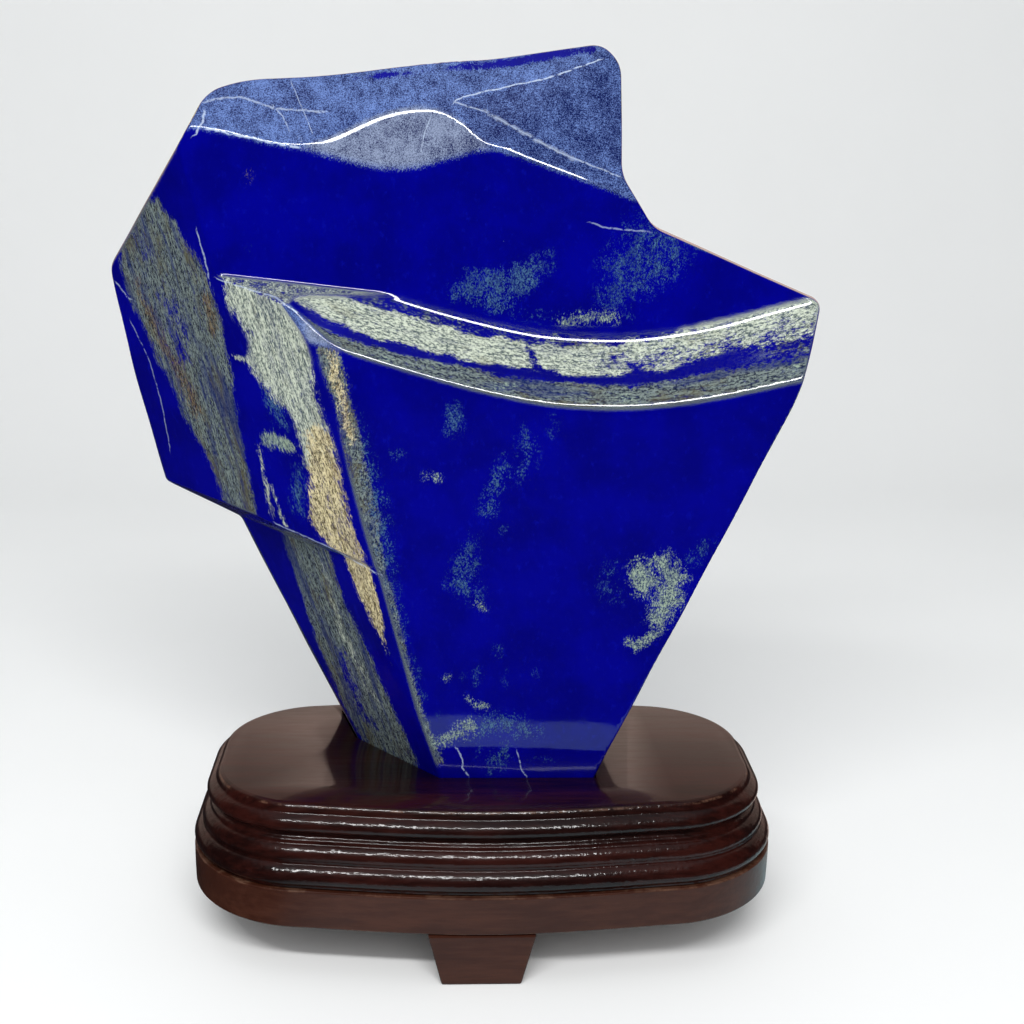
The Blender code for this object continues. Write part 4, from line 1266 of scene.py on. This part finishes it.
@dataclass(frozen=True)
class Seat:
    """The hole in the top board that the stone's foot stands in."""

    low: float = 68.0
    high: float = 84.0
    clearance: float = 0.4
    heart: Point = (0.0, 5.0, 80.0)
    walls: tuple[Facet, ...] = (Ground.FRONT.value, Ground.RIGHT.value, Ground.BACK_LOWER.value,
                                Cut.LOWER_STRIP.value, Cut.LOWER_LEFT.value, Cut.LOWER_LEFT_EDGE.value)

    def cut(self, board: bpy.types.Object, shift: float) -> None:
        """Cut the seat into a board."""
        bm = bmesh.new()
        middle = 0.5 * (self.low + self.high)
        bmesh.ops.create_cube(bm, size=1.0, matrix=Matrix.Translation((0.0, 0.0, middle)) @ Matrix.Diagonal(
            (400.0, 400.0, self.high - self.low, 1.0)))
        for wall in self.walls:
            first, normal = Facet(wall.marks, self.heart).plane()
            cut = bmesh.ops.bisect_plane(bm, geom=bm.verts[:] + bm.edges[:] + bm.faces[:], clear_outer=True,
                                         plane_co=first + normal * self.clearance, plane_no=normal)
            edges = [item for item in cut["geom_cut"] if isinstance(item, bmesh.types.BMEdge)]
            bmesh.ops.contextual_create(bm, geom=edges)
        bm.transform(Matrix.Scale(MM, 4) @ Matrix.Translation((shift, 0.0, 0.0)))
        bmesh.ops.recalc_face_normals(bm, faces=bm.faces)
        mesh = bpy.data.meshes.new("seat")
        bm.to_mesh(mesh)
        bm.free()
        cutter = bpy.data.objects.new("seat_cutter", mesh)
        bpy.context.scene.collection.objects.link(cutter)
        cutter.hide_render = True
        modifier = board.modifiers.new("seat", "BOOLEAN")
        modifier.object = cutter
        modifier.operation = "DIFFERENCE"
        result = bpy.data.meshes.new_from_object(board.evaluated_get(bpy.context.evaluated_depsgraph_get()))
        board.modifiers.clear()
        board.data = result
        bpy.data.objects.remove(cutter)


@dataclass
class Stand:
    """The oblong stand: three moulded boards on three feet."""

    top: Board = Board("top_board", (
        (9.4, 64.6), (7.4, 65.2), (6.5, 66.4), (6.4, 68), (7.1, 69.7), (8.6, 71.2), (10.4, 72.1), (10.8, 73.2),
        (11.6, 74.8), (12.6, 75.7), (13.7, 76)))
    middle: Board = Board("middle_board", (
        (4.5, 42), (1.6, 42), (1.5, 43.6), (0.7, 44.3), (0.2, 45.6), (0.2, 47), (0.8, 48.8), (1.9, 50.4), (3.2, 51.5),
        (4.2, 51.9), (4.3, 53.2), (3.9, 54.4), (4.1, 56), (4.9, 57.6), (6.3, 59), (7.6, 59.6), (7.9, 61), (8.6, 61.6),
        (9.4, 62.2), (10.2, 64.3)))
    apron: Board = Board("apron_board", ((0.9, 24), (0.3, 24.3), (0, 25), (0, 40.9), (0.3, 41.6), (1.0, 41.7)), 1)
    feet: tuple[str, ...] = ("front_foot", "back_left_foot", "back_right_foot")
    gloss: LacquerFinish = field(default_factory=LacquerFinish)
    # Satin copy of the lacquer for the apron and the feet; its lighter colours are painted light, for faces lit from
    # the front and by the pale floor.
    satin_with_painted_light: LacquerFinish = LacquerFinish("satin_lacquer_painted_lighter", rgb(52, 24, 15), rgb(68, 36, 24), rgb(110, 84, 68), 0.2, 0.16,
                                         0.4, (41.5, 24.4))

    def build(self, shift: float) -> list[bpy.types.Object]:
        """Make the boards, and lacquer them and the feet."""
        # The apron and feet take the satin lacquer, whose lighter colours are painted light.
        gloss, satin_with_painted_light = self.gloss.material(), self.satin_with_painted_light.material()
        pieces = []
        for board, lacquer in ((self.top, gloss), (self.middle, gloss), (self.apron, satin_with_painted_light)):
            piece = board.build(shift)
            if board is self.top:
                Seat().cut(piece, shift)
            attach(piece, "root")
            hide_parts(board.node)
            piece.data.materials.append(lacquer)
            pieces.append(piece)
        for name in self.feet:
            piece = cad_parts[name]
            piece.data.materials.clear()
            piece.data.materials.append(satin_with_painted_light)
            pieces.append(piece)
        return pieces


@dataclass
class Stone:
    """The polished stone: its shape, its mesh and its finish."""

    shift: float
    shape: StoneShape = field(default_factory=StoneShape)
    finish: LapisFinish = field(default_factory=LapisFinish)
    markings: StoneMarkings = field(default_factory=StoneMarkings)

    def build(self) -> bpy.types.Object:
        """Make the stone in place of its CAD node."""
        maker = StoneMesh(self.shape, self.shift)
        obj = maker.build(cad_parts["lapis_stone"])
        obj.name = "polished_stone"
        self.markings.write(obj.data, maker.places(obj.data), self.shape)
        obj.data.materials.append(self.finish.material())
        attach(obj, "root")
        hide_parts("lapis_stone")
        return obj


@dataclass(frozen=True)
class Lamp:
    """A soft rectangular lamp aimed at a point."""

    name: str
    place: Point
    aim: Point
    size: tuple[float, float]
    power: float
    mirrored: bool = True

    def hang(self) -> bpy.types.Object:
        """Put the lamp up."""
        light = bpy.data.lights.new(self.name, "AREA")
        light.shape = "RECTANGLE"
        light.size, light.size_y = self.size
        light.energy = self.power
        obj = bpy.data.objects.new(self.name, light)
        bpy.context.scene.collection.objects.link(obj)
        direction = Vector(self.aim) - Vector(self.place)
        obj.visible_glossy = self.mirrored
        obj.matrix_world = Matrix.Translation(self.place) @ direction.to_track_quat("-Z", "Y").to_matrix().to_4x4()
        return obj


@dataclass
class Studio:
    """Pale floor and backdrop, soft light, and dark surroundings in front."""

    floor_colour: Colour = (0.90, 0.905, 0.90)
    table_reach: float = 0.245
    lamps: tuple[Lamp, ...] = (
        Lamp("strip lamp", (-0.12, -0.80, 1.05), (0.0, 0.0, 0.2), (1.0, 0.09), 10.0),
        Lamp("front softbox", (0.1, -1.25, 1.15), (0.0, 0.0, 0.2), (1.6, 1.0), 7.5, False),
        Lamp("overhead lamp", (0.0, 0.1, 1.5), (0.0, 0.0, 0.1), (1.4, 1.2), 2.0, False),
    )

    def floor(self) -> bpy.types.Object:
        """One sheet that is the floor and turns up into the backdrop."""
        bm = bmesh.new()
        profile = [(-2.5, 0.0), (0.7, 0.0)]
        for i in range(1, 13):
            angle = math.radians(90.0 * i / 12)
            profile.append((0.7 + 0.35 * math.sin(angle), 0.35 - 0.35 * math.cos(angle)))
        profile.append((1.05, 3.0))
        left = [bm.verts.new((-3.0, y, z)) for y, z in profile]
        right = [bm.verts.new((3.0, y, z)) for y, z in profile]
        for i in range(len(profile) - 1):
            bm.faces.new((left[i], right[i], right[i + 1], left[i + 1]))
        bmesh.ops.recalc_face_normals(bm, faces=bm.faces)
        mesh = bpy.data.meshes.new("floor")
        bm.to_mesh(mesh)
        bm.free()
        mesh.shade_smooth()
        obj = bpy.data.objects.new("floor", mesh)
        bpy.context.scene.collection.objects.link(obj)
        mesh.materials.append(self.floor_material())
        return obj

    def floor_material(self) -> bpy.types.Material:
        """Matt pale paper; what it shows in reflections is painted: dark far from the stand, bluish in front of it and
        warm behind it.
        """
        made = bpy.data.materials.new("pale paper")
        made.use_nodes = True
        wiring = Wiring(made.node_tree)
        surface = made.node_tree.nodes["Principled BSDF"]
        surface.inputs["Roughness"].default_value = 0.9
        surface.inputs["Specular IOR Level"].default_value = 0.0
        place = wiring.node("ShaderNodeTexCoord").outputs["Object"]
        parts = wiring.node("ShaderNodeSeparateXYZ")
        wiring.feed(parts.inputs[0], place)
        away = wiring.node("ShaderNodeVectorMath", operation="LENGTH")
        wiring.feed(away.inputs[0], place)
        # Painted reflection: past the table's reach and to the left, the floor is dark in mirrored rays.
        round_edge = wiring.step(away.outputs["Value"], self.table_reach, self.table_reach + 0.006)
        far = wiring.maths("MAXIMUM", round_edge, wiring.step(parts.outputs["X"], -0.06, -0.12))
        level = wiring.step(parts.outputs["Z"], 0.06, 0.02)
        mirrored = wiring.node("ShaderNodeLightPath").outputs["Is Glossy Ray"]
        dark = wiring.maths("MULTIPLY", wiring.maths("MULTIPLY", far, level), mirrored)
        mottle = wiring.noise(place, 6.0, 2.0)
        pale = wiring.mix(wiring.step(mottle, 0.2, 0.8), self.floor_colour, tuple(0.985 * c for c in self.floor_colour))
        # Painted reflection: near the stand the mirrored floor is bluish in front and warm behind.
        behind = wiring.step(parts.outputs["Y"], 0.0, 0.08)
        near = wiring.mix(mirrored, pale, wiring.mix(behind, (0.42, 0.58, 0.62), (0.72, 0.52, 0.44)))
        wiring.feed(surface.inputs["Base Color"], wiring.mix(dark, near, (0.02, 0.02, 0.022)))
        return made

    def world(self) -> None:
        """Soft light from all round; in reflections it is dark ahead and bright overhead."""
        world = bpy.data.worlds.new("studio")
        bpy.context.scene.world = world
        world.use_nodes = True
        wiring = Wiring(world.node_tree)
        background = world.node_tree.nodes["Background"]
        direction = wiring.node("ShaderNodeTexCoord").outputs["Generated"]
        parts = wiring.node("ShaderNodeSeparateXYZ")
        wiring.feed(parts.inputs[0], direction)
        overhead = wiring.step(parts.outputs["Z"], 0.72, 0.98)
        mirrored = wiring.node("ShaderNodeLightPath").outputs["Is Glossy Ray"]
        seen = wiring.mix(overhead, (0.03, 0.03, 0.035), (0.6, 0.62, 0.66))
        wiring.feed(background.inputs["Color"], wiring.mix(mirrored, (0.80, 0.82, 0.84), seen))
        background.inputs["Strength"].default_value = 0.55

    def build(self) -> list[bpy.types.Object]:
        """Set up the floor, the lamps and the surroundings."""
        self.world()
        bpy.context.scene.view_settings.view_transform = "Standard"
        return [self.floor()] + [lamp.hang() for lamp in self.lamps]


@dataclass(frozen=True)
class PhotoCamera:
    """Camera at the photo's viewing angle."""

    shift: float
    place: Point = (-0.020793, -0.584818, 0.3595)
    ahead: Point = (0.05069, 0.95906, -0.27857)
    roll: float = 0.0224
    lens: float = 49.22

    def build(self) -> bpy.types.Object:
        """Stand the camera in its place."""
        camera = bpy.data.cameras.new("camera")
        camera.lens = self.lens
        camera.sensor_width = 36.0
        camera.clip_start = 0.01
        obj = bpy.data.objects.new("camera", camera)
        bpy.context.scene.collection.objects.link(obj)
        ahead = Vector(self.ahead).normalized()
        right = ahead.cross(Vector((0.0, 0.0, 1.0))).normalized()
        up = right.cross(ahead)
        right = right * math.cos(self.roll) + up * math.sin(self.roll)
        up = right.cross(ahead)
        turned = Matrix((right, up, -ahead)).transposed().to_4x4()
        obj.matrix_world = Matrix.Translation(Vector(self.place) + Vector((self.shift, 0.0, 0.0))) @ turned
        bpy.context.scene.camera = obj
        return obj


def main() -> None:
    """Build the stone, dress the stand and set up the studio."""
    logging.basicConfig(level=logging.INFO, format="%(message)s")
    low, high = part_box("apron_board")
    shift = (low.x + high.x) / 2.0 / MM
    stone = Stone(shift).build()
    LOG.info("stone: %d faces", len(stone.data.polygons))
    for piece in Stand().build(shift):
        LOG.info("stand: %s, %d faces", piece.name, len(piece.data.polygons))
    for piece in Studio().build():
        LOG.info("studio: %s", piece.name)
    PhotoCamera(shift * MM).build()


if __name__ == "__main__":
    main()
